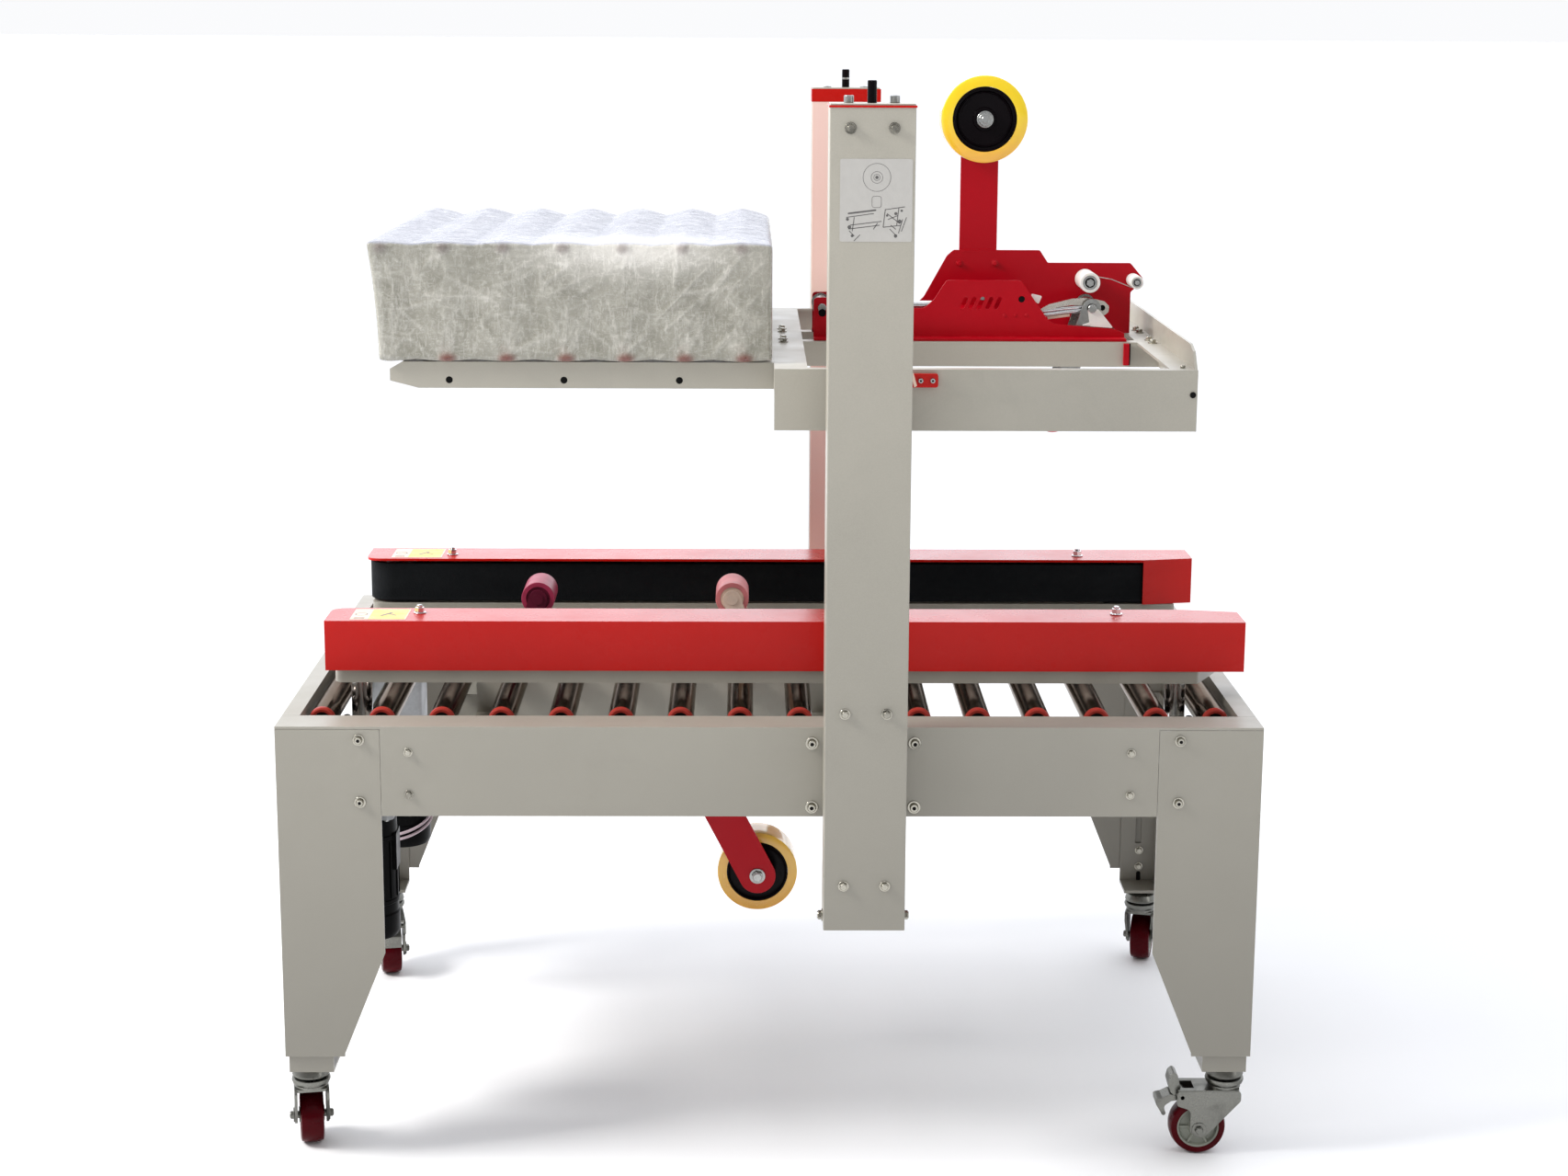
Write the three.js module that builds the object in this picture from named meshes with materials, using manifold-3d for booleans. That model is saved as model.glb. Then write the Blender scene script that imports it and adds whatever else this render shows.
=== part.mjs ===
// Side-belt carton sealer: a roller table on castors, two side belt units, a tape head below the
// table and another on a carriage that rises and falls on two columns.
// Millimetres. +X is the infeed end, +Y the far side, +Z up. The origin is on the floor under the
// middle of the machine.
import * as THREE from 'three';
import { mergeVertices } from 'three/addons/utils/BufferGeometryUtils.js';
import Module from 'manifold-3d';

const wasm = await Module();
wasm.setup();

// ---- driving dimensions ----
const GAP = 0.3;
const SHEET = 3;

const TABLE_LENGTH = 1090;
const TABLE_DEPTH = 700;
const TABLE_TOP = 512;
const BEAM_HEIGHT = 102;
const RIM_DEPTH = 50;
const END_RIM = 20;
const LIP_HEIGHT = 32;
const FOOT_RIM = 15;

const LEG_WIDTH = 115;
const LEG_FOOT_WIDTH = 67;
const LEG_TAPER_TOP = 250;
const LEG_BOTTOM = 128;
const INNER_LEG_WIDTH = 50;
const INNER_LEG_BOTTOM = 108;
const INNER_LEG_TOP = 380;
const LEG_SLOT = { inset: 26, half: 4, bottom: 165, top: 350 };
const FOOT_PLATE = 4;

const WHEEL_RADIUS = 32.5;
const WHEEL_BORE = 4.8;
const AXLE_RADIUS = 4.4;
const CASTOR_TRAIL = 30;
const CASTOR_X_FRONT = 523;
const CASTOR_X_REAR = 517;
const CASTOR_Y = 314;
const FORK_INSIDE = 16.5;
const FORK_SHEET = 3;
const FORK_CROWN = 78;
const FORK_CROWN_RADIUS = 22;
const FORK_STEM_RADIUS = 8;
const PEDAL_PIVOT = [-50, 71];
const PEDAL_HALF = 12;
const PEDAL_PIN = 3;

const ROLLER_COUNT = 16;
const ROLLER_PITCH = 67.5;
const ROLLER_RADIUS = 15;
const ROLLER_DROP = 0.3;
const ROLLER_PIN = 4;
const ROLLER_HOLE = 4.9;
const ROLLER_END = 265;

const WELL_START = -352;
const WELL_NOSE = -386;
const WELL_NOSE_TOP = 476;
const WELL_END = 80;
const WELL_HALF = 62;
const WELL_BOTTOM = 440;
const WELL_TOP = 508;
const WELL_LEDGE = 479.4;
const TIE_WIDTH = 30;

const COLUMN_X = 102.5;
const COLUMN_WIDTH = 89;
const COLUMN_FACE = 416;
const COLUMN_BACK = 355;
const COLUMN_BOTTOM = 300;
const COLUMN_TOP = 1188;
const COLUMN_SLOT = 40;
const SLOT_BOTTOM = 530;
const SLOT_TOP = 1150;
const PLATE_WIDTH = 84;
const SCREW_RADIUS = 8;
const SCREW_NECK = 5;
const SCREW_TOP = 1213;

const CARRIAGE_START = 3;
const CARRIAGE_END = 462;
const CARRIAGE_TOP = 905;
const CARRIAGE_BOTTOM = 838;
const CARRIAGE_FACE = 325;
const CARRIAGE_FLANGE = 14;
const SLED_BOTTOM = 876;
const PASSAGE_HALF = 308;
const OUTFEED_RAIL_START = -419;
const OUTFEED_RAIL_FACE = 270;
const RAIL_HOLES = [-354, -228, -101];
const BUNDLE_START = -436;
const BUNDLE_TOP = 1037;
const BUNDLE_HALF = 280;

const HEAD_X_UPPER = 222;
const HEAD_X_LOWER = -161.5;
const HEAD_PLATE_INSIDE = 34;
const ARM_PIVOT = [160, 66];
const TAPE_ROLLER_X = 117.5;
const TAPE_ROLLER_DROP_UPPER = 63;
const TAPE_ROLLER_DROP_LOWER = 76;
const TAPE_ROLLER_RADIUS = 20;
const TAPE_ROLLER_HALF = 29.5;
const REEL_RADIUS = 49.5;
const REEL_HALF = 24;
const REEL_AXLE = 8;
const REEL_ARM_WIDTH = 45;
const REEL_ARM_UPPER = { base: [29.5, 60], hub: [29.5, 286] };
const REEL_ARM_LOWER = { base: [60.4, 100], hub: [149, 270.5] };

const BELT_UNIT_Y = 184;
const COVER_HALF = 35;
const COVER_CORNER = 18;
const COVER_TOP = 602;
const COVER_BOTTOM = 544;
const COVER_WRAP = 64;
const COVER_TAPER = 13;
const CHASSIS_INNER_END = 525;
const CHASSIS_OUTER_END = 493;
const CHASSIS_BOTTOM = 529;
const CHASSIS_HALF = 31;
const CHASSIS_OVERHANG = 28;
const BED_INSET = 40;
const BED_HALF = 24;
const BELT_RADIUS = 31.5;
const BELT_THICKNESS = 4;
const BELT_LOW = 546;
const BELT_HIGH = 596;
const IDLER_X = 476;
const BELT_UNITS = [
  { name: 'front', side: -1, coverStart: -508, driveX: -471 },
  { name: 'rear', side: 1, coverStart: -511, driveX: -478 },
];
const POST_X = 472;
const POST_RADIUS = 12;
const BLOCK_LOW = 440;
const BLOCK_HIGH = 474;
const BLOCK_HALF = 30;
const GUIDE_Z = 457;
const GUIDE_BORE = 9;
const GEARBOX_HALF = 34;
const MOTOR_RADIUS = 37;
const MOTOR_BOTTOM = 216;
const GEARBOX_BOTTOM = 370;

const HALF_LENGTH = TABLE_LENGTH / 2;
const HALF_DEPTH = TABLE_DEPTH / 2;
const BEAM_BOTTOM = TABLE_TOP - BEAM_HEIGHT;
const LEG_INNER = HALF_LENGTH - LEG_WIDTH;
const ROLLER_Z = TABLE_TOP - ROLLER_RADIUS - ROLLER_DROP;
const SCREW_Y = (COLUMN_FACE + COLUMN_BACK) / 2;

// ---- solids ----
function toSolid(geometry) {
  const bare = geometry.clone();
  bare.deleteAttribute('normal');
  bare.deleteAttribute('uv');
  const merged = mergeVertices(bare, 1e-4);
  const corners = merged.index.array;
  const triangles = [];
  for (let i = 0; i < corners.length; i += 3) {
    const [a, b, c] = corners.slice(i, i + 3);
    if (a !== b && b !== c && c !== a) {
      triangles.push(a, b, c);
    }
  }
  return new wasm.Manifold(new wasm.Mesh({
    numProp: 3,
    vertProperties: new Float32Array(merged.attributes.position.array),
    triVerts: new Uint32Array(triangles),
  }));
}

function toGeometry(solid) {
  const mesh = solid.getMesh();
  const geometry = new THREE.BufferGeometry();
  geometry.setAttribute('position', new THREE.BufferAttribute(mesh.vertProperties, 3));
  geometry.setIndex(new THREE.BufferAttribute(mesh.triVerts, 1));
  geometry.computeVertexNormals();
  return geometry;
}

function join(...geometries) {
  return toGeometry(geometries.map(toSolid).reduce((whole, next) => whole.add(next)));
}

function cut(geometry, ...tools) {
  return toGeometry(tools.map(toSolid).reduce((whole, tool) => whole.subtract(tool), toSolid(geometry)));
}

function block(x, y, z) {
  const [x0, x1] = [Math.min(...x), Math.max(...x)];
  const [y0, y1] = [Math.min(...y), Math.max(...y)];
  const [z0, z1] = [Math.min(...z), Math.max(...z)];
  const box = new THREE.BoxGeometry(x1 - x0, y1 - y0, z1 - z0);
  return box.translate((x0 + x1) / 2, (y0 + y1) / 2, (z0 + z1) / 2);
}

// A rod along one axis, from one coordinate to another, through the other two coordinates.
function rod(axis, radius, from, to, place, sides = 16) {
  const length = Math.abs(to - from);
  const middle = (from + to) / 2;
  const cylinder = new THREE.CylinderGeometry(radius, radius, length, sides);
  if (axis === 'x') {
    return cylinder.rotateZ(Math.PI / 2).translate(middle, place[0], place[1]);
  }
  if (axis === 'y') {
    return cylinder.translate(place[0], middle, place[1]);
  }
  return cylinder.rotateX(Math.PI / 2).translate(place[0], place[1], middle);
}

function outline(points) {
  return new THREE.Shape(points.map(([a, b]) => new THREE.Vector2(a, b)));
}

function extrude(shape, depth, arcSteps) {
  return new THREE.ExtrudeGeometry(shape, { depth, bevelEnabled: false, curveSegments: arcSteps });
}

// A sheet whose outline lies in X and Z, and whose thickness runs along Y.
function sheetXZ(shape, y, arcSteps = 6) {
  const [y0, y1] = [Math.min(...y), Math.max(...y)];
  return extrude(shape, y1 - y0, arcSteps).rotateX(Math.PI / 2).translate(0, y1, 0);
}

// A sheet whose outline lies in Y and Z, and whose thickness runs along X.
function sheetYZ(shape, x, arcSteps = 6) {
  const [x0, x1] = [Math.min(...x), Math.max(...x)];
  const turn = new THREE.Matrix4().makeBasis(
    new THREE.Vector3(0, 1, 0), new THREE.Vector3(0, 0, 1), new THREE.Vector3(1, 0, 0));
  return extrude(shape, x1 - x0, arcSteps).applyMatrix4(turn).translate(x0, 0, 0);
}

function sheetXY(shape, z, arcSteps = 6) {
  const [z0, z1] = [Math.min(...z), Math.max(...z)];
  return extrude(shape, z1 - z0, arcSteps).translate(0, 0, z0);
}

// The outline of a flat bar with a round end at each of two points.
function barOutline(from, to, width) {
  const radius = width / 2;
  const heading = Math.atan2(to[1] - from[1], to[0] - from[0]);
  const shape = new THREE.Shape();
  shape.absarc(to[0], to[1], radius, heading - Math.PI / 2, heading + Math.PI / 2, false);
  shape.absarc(from[0], from[1], radius, heading + Math.PI / 2, heading + Math.PI * 1.5, false);
  return shape;
}

// A turned piece about Y: its profile is a closed loop of [radius, y] points.
function turned(profile, sides = 24) {
  const loop = [...profile, profile[0]].map(([radius, y]) => new THREE.Vector2(radius, y));
  return new THREE.LatheGeometry(loop, sides);
}

const mirrored = (points) => points.map(([a, b]) => [-a, b]).reverse();

// ---- the model ----
const machine = new THREE.Group();

const FINISH = {
  greyPaint: { color: 0xa5a194, roughness: 0.45, metalness: 0.1 },
  redPaint: { color: 0xc02a1e, roughness: 0.35, metalness: 0.1 },
  headRed: { color: 0xa00a1e, roughness: 0.4, metalness: 0.1 },
  zinc: { color: 0xb9babc, roughness: 0.35, metalness: 0.9 },
  steel: { color: 0x8d8f92, roughness: 0.3, metalness: 1 },
  blackRubber: { color: 0x111214, roughness: 0.8, metalness: 0 },
  redTread: { color: 0x7a0f18, roughness: 0.5, metalness: 0 },
  pinkRubber: { color: 0xc77a78, roughness: 0.7, metalness: 0 },
  tape: { color: 0xf2c21a, roughness: 0.2, metalness: 0 },
  film: { color: 0xcfcbc0, roughness: 0.25, metalness: 0 },
};

function add(name, finish, geometry, place = machine) {
  const mesh = new THREE.Mesh(geometry, new THREE.MeshStandardMaterial(FINISH[finish]));
  mesh.name = name;
  place.add(mesh);
  return mesh;
}

// ---- table frame ----
function rollerX(index) {
  return (index - (ROLLER_COUNT - 1) / 2) * ROLLER_PITCH;
}

function isOverWell(x) {
  return x > WELL_START && x < WELL_END;
}

const rollerPlaces = Array.from({ length: ROLLER_COUNT }, (_, index) => rollerX(index));

function sideBeam(side) {
  const outer = side * HALF_DEPTH;
  const skin = side * (HALF_DEPTH - SHEET);
  const lipFace = side * (HALF_DEPTH - RIM_DEPTH);
  const lipBack = side * (HALF_DEPTH - RIM_DEPTH + SHEET);
  const web = block([-LEG_INNER + GAP, LEG_INNER - GAP], [outer, skin], [BEAM_BOTTOM, TABLE_TOP]);
  const rim = block([-HALF_LENGTH, HALF_LENGTH], [outer, lipFace], [TABLE_TOP - SHEET, TABLE_TOP]);
  const lipEnd = HALF_LENGTH - END_RIM - 5;
  const lip = block([-lipEnd, lipEnd], [lipFace, lipBack], [TABLE_TOP - LIP_HEIGHT, TABLE_TOP]);
  const foot = block([-LEG_INNER + GAP, LEG_INNER - GAP], [outer, side * (HALF_DEPTH - FOOT_RIM)],
    [BEAM_BOTTOM, BEAM_BOTTOM + SHEET]);
  const doublers = [-1, 1].flatMap((end) => {
    const depth = [side * (HALF_DEPTH - 2 * SHEET - GAP), side * (HALF_DEPTH - SHEET - GAP)];
    const behindLeg = block([end * (LEG_INNER - 50), end * (HALF_LENGTH - 6)], depth,
      [BEAM_BOTTOM + 15, TABLE_TOP - 1]);
    const weld = block([end * (LEG_INNER - 50), end * (LEG_INNER - 5)],
      [depth[0], side * (HALF_DEPTH - 1)], [BEAM_BOTTOM + 15, TABLE_TOP - 1]);
    return [behindLeg, weld];
  });
  const holes = rollerPlaces.map((x) =>
    rod('y', ROLLER_HOLE, lipFace - side * 5, lipBack + side * 5, [x, ROLLER_Z], 8));
  return cut(join(web, rim, lip, foot, ...doublers), ...holes);
}

// One end of the table: its cross plate and the two folded legs at its corners.
function endFrame(end) {
  const outer = end * HALF_LENGTH;
  const skin = end * (HALF_LENGTH - SHEET);
  const rimInner = end * (HALF_LENGTH - END_RIM);
  const underRim = TABLE_TOP - SHEET - GAP;
  const between = HALF_DEPTH - RIM_DEPTH - GAP;
  const plate = block([outer, skin], [-HALF_DEPTH + SHEET, HALF_DEPTH - SHEET], [BEAM_BOTTOM, underRim]);
  const rise = block([outer, skin], [-between, between], [underRim - 1, TABLE_TOP]);
  const rim = block([outer, rimInner], [-between, between], [TABLE_TOP - SHEET, TABLE_TOP]);
  const lip = block([rimInner, rimInner + end * SHEET], [-between + 5, between - 5],
    [TABLE_TOP - 22, TABLE_TOP]);
  const legs = [-1, 1].flatMap((side) => {
    const facePoints = [
      [HALF_LENGTH, underRim], [LEG_INNER, underRim], [LEG_INNER, LEG_TAPER_TOP],
      [HALF_LENGTH - LEG_FOOT_WIDTH, LEG_BOTTOM + SHEET], [HALF_LENGTH - LEG_FOOT_WIDTH, LEG_BOTTOM],
      [HALF_LENGTH, LEG_BOTTOM]];
    const edgePoints = facePoints.map(([x, z]) => [x - HALF_LENGTH + HALF_DEPTH, z]);
    const face = sheetXZ(outline(end > 0 ? facePoints : mirrored(facePoints)),
      [side * HALF_DEPTH, side * (HALF_DEPTH - SHEET)]);
    const edge = sheetYZ(outline(side > 0 ? edgePoints : mirrored(edgePoints)), [outer, skin]);
    return [face, edge];
  });
  return join(plate, rise, rim, lip, ...legs);
}

function headWell() {
  const walls = [-1, 1].map((side) => block([WELL_START, WELL_END],
    [side * WELL_HALF, side * (WELL_HALF - SHEET)], [WELL_BOTTOM, WELL_TOP]));
  // The walls run on under the neighbouring roller.
  const noses = [-1, 1].map((side) => block([WELL_NOSE, WELL_START + 1],
    [side * WELL_HALF, side * (WELL_HALF - SHEET)], [WELL_BOTTOM, WELL_NOSE_TOP]));
  const ledges = [-1, 1].map((side) => block([WELL_START, WELL_END],
    [side * WELL_HALF, side * 42], [WELL_LEDGE - SHEET, WELL_LEDGE]));
  const ends = [[WELL_START, WELL_START + SHEET], [WELL_END - SHEET, WELL_END]].map((x) =>
    block(x, [-WELL_HALF, WELL_HALF], [WELL_BOTTOM, WELL_TOP]));
  const reach = HALF_DEPTH - SHEET - GAP;
  const tieHeight = [WELL_BOTTOM - 10, WELL_BOTTOM + 15];
  const ties = [[WELL_START, WELL_START + TIE_WIDTH], [WELL_END - TIE_WIDTH, WELL_END]].flatMap((x) =>
    [-1, 1].map((side) => block(x, [side * (WELL_HALF - 1), side * reach], tieHeight)));
  const whole = join(...walls, ...noses, ...ledges, ...ends, ...ties);
  const holes = rollerPlaces.filter(isOverWell).map((x) =>
    rod('y', ROLLER_HOLE, -WELL_HALF - 5, WELL_HALF + 5, [x, ROLLER_Z], 8));
  return cut(whole, ...holes);
}

add('front_side_beam', 'greyPaint', sideBeam(-1));
add('rear_side_beam', 'greyPaint', sideBeam(1));
add('outfeed_end_frame', 'greyPaint', endFrame(-1));
add('infeed_end_frame', 'greyPaint', endFrame(1));
add('head_well', 'greyPaint', headWell());

// ---- telescopic inner legs ----
function innerLeg(end, side) {
  const outerX = end * (HALF_LENGTH - SHEET - 0.5);
  const outerY = side * (HALF_DEPTH - SHEET - 0.5);
  const innerX = outerX - end * INNER_LEG_WIDTH;
  const innerY = outerY - side * INNER_LEG_WIDTH;
  const height = [INNER_LEG_BOTTOM, INNER_LEG_TOP];
  const face = block([outerX, innerX], [outerY, outerY - side * SHEET], height);
  const edge = block([outerX, outerX - end * SHEET], [outerY, innerY], height);
  const foot = block([outerX, innerX], [outerY, innerY], [INNER_LEG_BOTTOM, INNER_LEG_BOTTOM + FOOT_PLATE]);
  const slotX = outerX - end * LEG_SLOT.inset;
  const through = [outerY + side, outerY - side * 2 * SHEET];
  const slot = block([slotX - LEG_SLOT.half, slotX + LEG_SLOT.half], through, [LEG_SLOT.bottom, LEG_SLOT.top]);
  return cut(join(face, edge, foot), slot);
}

// ---- castors: heading is the direction in which the wheel trails, in degrees from +X ----
const CASTORS = [
  { corner: 'front_left', end: -1, side: -1, x: -CASTOR_X_FRONT, heading: 101 },
  { corner: 'front_right', end: 1, side: -1, x: CASTOR_X_FRONT, heading: 180 },
  { corner: 'rear_left', end: -1, side: 1, x: -CASTOR_X_REAR, heading: 281 },
  { corner: 'rear_right', end: 1, side: 1, x: CASTOR_X_REAR, heading: 76 },
];

function fork() {
  const stem = rod('z', FORK_STEM_RADIUS, FORK_CROWN + 4, INNER_LEG_BOTTOM - GAP, [0, 0], 10);
  const crown = rod('z', FORK_CROWN_RADIUS, FORK_CROWN, FORK_CROWN + 14, [0, 0], 16);
  const cheek = outline([[17, FORK_CROWN], [-56, FORK_CROWN], [-56, 62], [-40, 56], [-40, 30],
    [-30, 20], [-20, 26], [17, 68]]);
  const cheeks = [-1, 1].map((side) =>
    sheetXZ(cheek, [side * FORK_INSIDE, side * (FORK_INSIDE + FORK_SHEET)]));
  const bridge = block([-20, 17], [-FORK_INSIDE - 1, FORK_INSIDE + 1], [FORK_CROWN - 4, FORK_CROWN + 1]);
  const axle = rod('y', AXLE_RADIUS, -23, 23, [-CASTOR_TRAIL, WHEEL_RADIUS], 12);
  const pedalPin = rod('y', PEDAL_PIN, -FORK_INSIDE - 1, FORK_INSIDE + 1, PEDAL_PIVOT, 10);
  return join(stem, crown, ...cheeks, bridge, axle, pedalPin);
}

function wheel() {
  const half = 15;
  return turned([[WHEEL_BORE, -half], [12, -half], [29, -12], [WHEEL_RADIUS, -8],
    [WHEEL_RADIUS, 8], [29, 12], [12, half], [WHEEL_BORE, half]], 20);
}

function brakePedal() {
  const sleeve = rod('y', 6, -PEDAL_HALF, PEDAL_HALF, PEDAL_PIVOT, 12);
  const pressing = sheetXZ(outline([[-47, 75], [-53, 77], [-56, 96], [-61, 98], [-66, 88], [-63, 74],
    [-73, 68], [-80, 67], [-79, 61], [-72, 48], [-67, 50], [-69, 60], [-60, 64], [-50, 66]]),
  [-PEDAL_HALF, PEDAL_HALF]);
  const bore = rod('y', PEDAL_PIN + 0.5, -PEDAL_HALF - 2, PEDAL_HALF + 2, PEDAL_PIVOT, 10);
  return cut(join(sleeve, pressing), bore);
}

for (const { corner, end, side, x, heading } of CASTORS) {
  add(`${corner}_inner_leg`, 'greyPaint', innerLeg(end, side));
  const castor = new THREE.Group();
  castor.position.set(x, side * CASTOR_Y, 0);
  castor.rotation.z = THREE.MathUtils.degToRad(heading - 180);
  machine.add(castor);
  add(`${corner}_castor_fork`, 'zinc', fork(), castor);
  const tyre = add(`${corner}_castor_wheel`, 'redTread', toGeometry(toSolid(wheel())), castor);
  tyre.position.set(-CASTOR_TRAIL, 0, WHEEL_RADIUS);
  if (corner === 'front_right') {
    add('front_right_brake_pedal', 'zinc', brakePedal(), castor);
  }
}

// ---- conveyor rollers ----
function roller(x, tube, pins) {
  return join(
    rod('y', ROLLER_RADIUS, ...tube, [x, ROLLER_Z], 14),
    rod('y', ROLLER_PIN, ...pins, [x, ROLLER_Z], 8));
}

const ROLLER_SPLIT = WELL_HALF + 4;
const PIN_END = HALF_DEPTH - RIM_DEPTH + 5;
const PIN_SPLIT = WELL_HALF - 4;

rollerPlaces.forEach((x, index) => {
  const number = String(index + 1).padStart(2, '0');
  if (isOverWell(x)) {
    add(`front_roller_${number}`, 'steel', roller(x, [-ROLLER_END, -ROLLER_SPLIT], [-PIN_END, -PIN_SPLIT]));
    add(`rear_roller_${number}`, 'steel', roller(x, [ROLLER_SPLIT, ROLLER_END], [PIN_SPLIT, PIN_END]));
  } else {
    add(`roller_${number}`, 'steel', roller(x, [-ROLLER_END, ROLLER_END], [-PIN_END, PIN_END]));
  }
});

// ---- columns and lead screws ----
function column(side) {
  const face = side * COLUMN_FACE;
  const back = side * (COLUMN_BACK + GAP);
  const half = COLUMN_WIDTH / 2;
  const post = block([COLUMN_X - half, COLUMN_X + half], [face, back], [COLUMN_BOTTOM, COLUMN_TOP]);
  const inside = block([COLUMN_X - half + SHEET, COLUMN_X + half - SHEET],
    [face - side * SHEET, back + side * SHEET], [COLUMN_BOTTOM - 1, COLUMN_TOP - SHEET]);
  const slot = block([COLUMN_X - COLUMN_SLOT / 2, COLUMN_X + COLUMN_SLOT / 2],
    [back - side * 5, back + side * 10], [SLOT_BOTTOM, SLOT_TOP]);
  const neck = rod('z', SCREW_NECK + 0.8, COLUMN_TOP - 10, COLUMN_TOP + 5, [COLUMN_X, side * SCREW_Y], 12);
  const plate = block([COLUMN_X - PLATE_WIDTH / 2, COLUMN_X + PLATE_WIDTH / 2],
    [back + side, side * (HALF_DEPTH + GAP)], [BEAM_BOTTOM + 1, TABLE_TOP - 1]);
  return join(cut(post, inside, slot, neck), plate);
}

function leadScrew(side) {
  const place = [COLUMN_X, side * SCREW_Y];
  const thread = rod('z', SCREW_RADIUS, COLUMN_BOTTOM + 30, COLUMN_TOP - 10, place, 12);
  const neck = rod('z', SCREW_NECK, COLUMN_TOP - 11, SCREW_TOP, place, 12);
  return join(thread, neck);
}

for (const [name, side] of [['front', -1], ['rear', 1]]) {
  add(`${name}_column`, 'greyPaint', column(side));
  add(`${name}_lead_screw`, 'steel', leadScrew(side));
}

// ---- rising carriage ----
const rails = {
  face: CARRIAGE_FACE,
  flange: CARRIAGE_FACE - CARRIAGE_FLANGE,
};

function carriageSide(side) {
  const length = [CARRIAGE_START, CARRIAGE_END];
  const face = side * rails.face;
  const flange = side * rails.flange;
  const web = block(length, [face, face - side * SHEET], [CARRIAGE_BOTTOM, CARRIAGE_TOP]);
  const top = block(length, [face, flange], [CARRIAGE_TOP - SHEET, CARRIAGE_TOP]);
  const foot = block(length, [face, flange], [CARRIAGE_BOTTOM, CARRIAGE_BOTTOM + SHEET]);
  const midWeb = block(length, [side * 62, side * 59], [SLED_BOTTOM, CARRIAGE_TOP]);
  const midTop = block(length, [side * 62, side * 40], [CARRIAGE_TOP - SHEET, CARRIAGE_TOP]);
  const midFoot = block(length, [side * 62, side * 50], [SLED_BOTTOM, SLED_BOTTOM + SHEET]);
  const height = [CARRIAGE_BOTTOM, CARRIAGE_TOP];
  const nut = cut(
    block([COLUMN_X - 36, COLUMN_X + 36], [side * (COLUMN_BACK + 5), side * (COLUMN_FACE - 4.5)], height),
    rod('z', SCREW_RADIUS + 0.8, CARRIAGE_BOTTOM - 5, CARRIAGE_TOP + 5, [COLUMN_X, side * SCREW_Y], 16));
  const neck = block([COLUMN_X - 17, COLUMN_X + 17], [face - side, side * (COLUMN_BACK + 6)], height);
  return [web, top, foot, midWeb, midTop, midFoot, nut, neck];
}

function outfeedRail(side) {
  const tip = OUTFEED_RAIL_START;
  const root = CARRIAGE_START + 2;
  const shape = outline([[root, CARRIAGE_TOP], [tip + 14, CARRIAGE_TOP], [tip, CARRIAGE_TOP - 8],
    [tip, SLED_BOTTOM + 8], [tip + 31, SLED_BOTTOM], [root, SLED_BOTTOM]]);
  const face = side * OUTFEED_RAIL_FACE;
  const web = sheetXZ(shape, [face, face - side * SHEET]);
  const holes = RAIL_HOLES.map((x) =>
    rod('y', 4, face + side * 5, face - side * 9, [x, SLED_BOTTOM + 9], 10));
  const top = block([tip + 14, root], [face, face - side * 25], [CARRIAGE_TOP - SHEET, CARRIAGE_TOP]);
  return join(cut(web, ...holes), top);
}

function carriage() {
  const depth = [-rails.face, rails.face];
  const flat = [CARRIAGE_TOP - SHEET, CARRIAGE_TOP];
  const outWeb = block([CARRIAGE_START, CARRIAGE_START + SHEET], depth, [CARRIAGE_BOTTOM, CARRIAGE_TOP]);
  const outFlange = block([CARRIAGE_START, CARRIAGE_START + 36], depth, flat);
  const inWeb = block([CARRIAGE_END - SHEET, CARRIAGE_END], depth, [CARRIAGE_BOTTOM, CARRIAGE_TOP]);
  const inFlange = block([CARRIAGE_END - 29, CARRIAGE_END], depth, flat);
  const fence = sheetYZ(outline([[-322, CARRIAGE_TOP - 1], [322, CARRIAGE_TOP - 1], [303, CARRIAGE_TOP + 18],
    [281, CARRIAGE_TOP + 24], [-281, CARRIAGE_TOP + 24], [-303, CARRIAGE_TOP + 18]]),
  [CARRIAGE_END - SHEET, CARRIAGE_END]);
  const ties = [OUTFEED_RAIL_START + 30, OUTFEED_RAIL_START + 230].map((x) =>
    block([x, x + 30], [-OUTFEED_RAIL_FACE + 1, OUTFEED_RAIL_FACE - 1], flat));
  const frame = join(outWeb, outFlange, inWeb, inFlange, fence, ...ties,
    ...carriageSide(-1), ...carriageSide(1), outfeedRail(-1), outfeedRail(1));
  // Both cross plates end above the sled rails' soles, so that cartons pass under them.
  const passage = block([CARRIAGE_START - 1, CARRIAGE_END + 1], [-PASSAGE_HALF, PASSAGE_HALF],
    [CARRIAGE_BOTTOM - 1, SLED_BOTTOM]);
  return cut(frame, passage);
}

function bundle() {
  const [x0, x1] = [BUNDLE_START, CARRIAGE_START - 0.5];
  const [z0, z1] = [CARRIAGE_TOP + GAP, BUNDLE_TOP];
  const side = outline([[-BUNDLE_HALF + 6, z0], [BUNDLE_HALF - 6, z0], [BUNDLE_HALF, z0 + 8],
    [BUNDLE_HALF, z1 - 14], [BUNDLE_HALF - 14, z1], [-BUNDLE_HALF + 14, z1], [-BUNDLE_HALF, z1 - 14],
    [-BUNDLE_HALF, z0 + 8]]);
  return sheetYZ(side, [x0, x1]);
}

add('carriage_frame', 'greyPaint', carriage());
add('wrapped_roller_tables', 'film', bundle());

// ---- tape heads: drawn for the upper head, with the sliding plane at height 0 ----
const NEAR_PLATE = [[-170, 29.3], [199, 29.3], [199, 37], [186, 42], [111, 48], [75, 99], [-13, 99],
  [-27, 77], [-39, 66], [-140, 66], [-148, 78], [-170, 78]];
const FAR_PLATE = [[-170, 29.3], [215, 29.3], [215, 79], [231, 94], [214, 114], [114, 114], [104, 129],
  [0, 129], [-8, 122], [-35, 73], [-42, 66], [-140, 66], [-148, 78], [-170, 78]];

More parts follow.
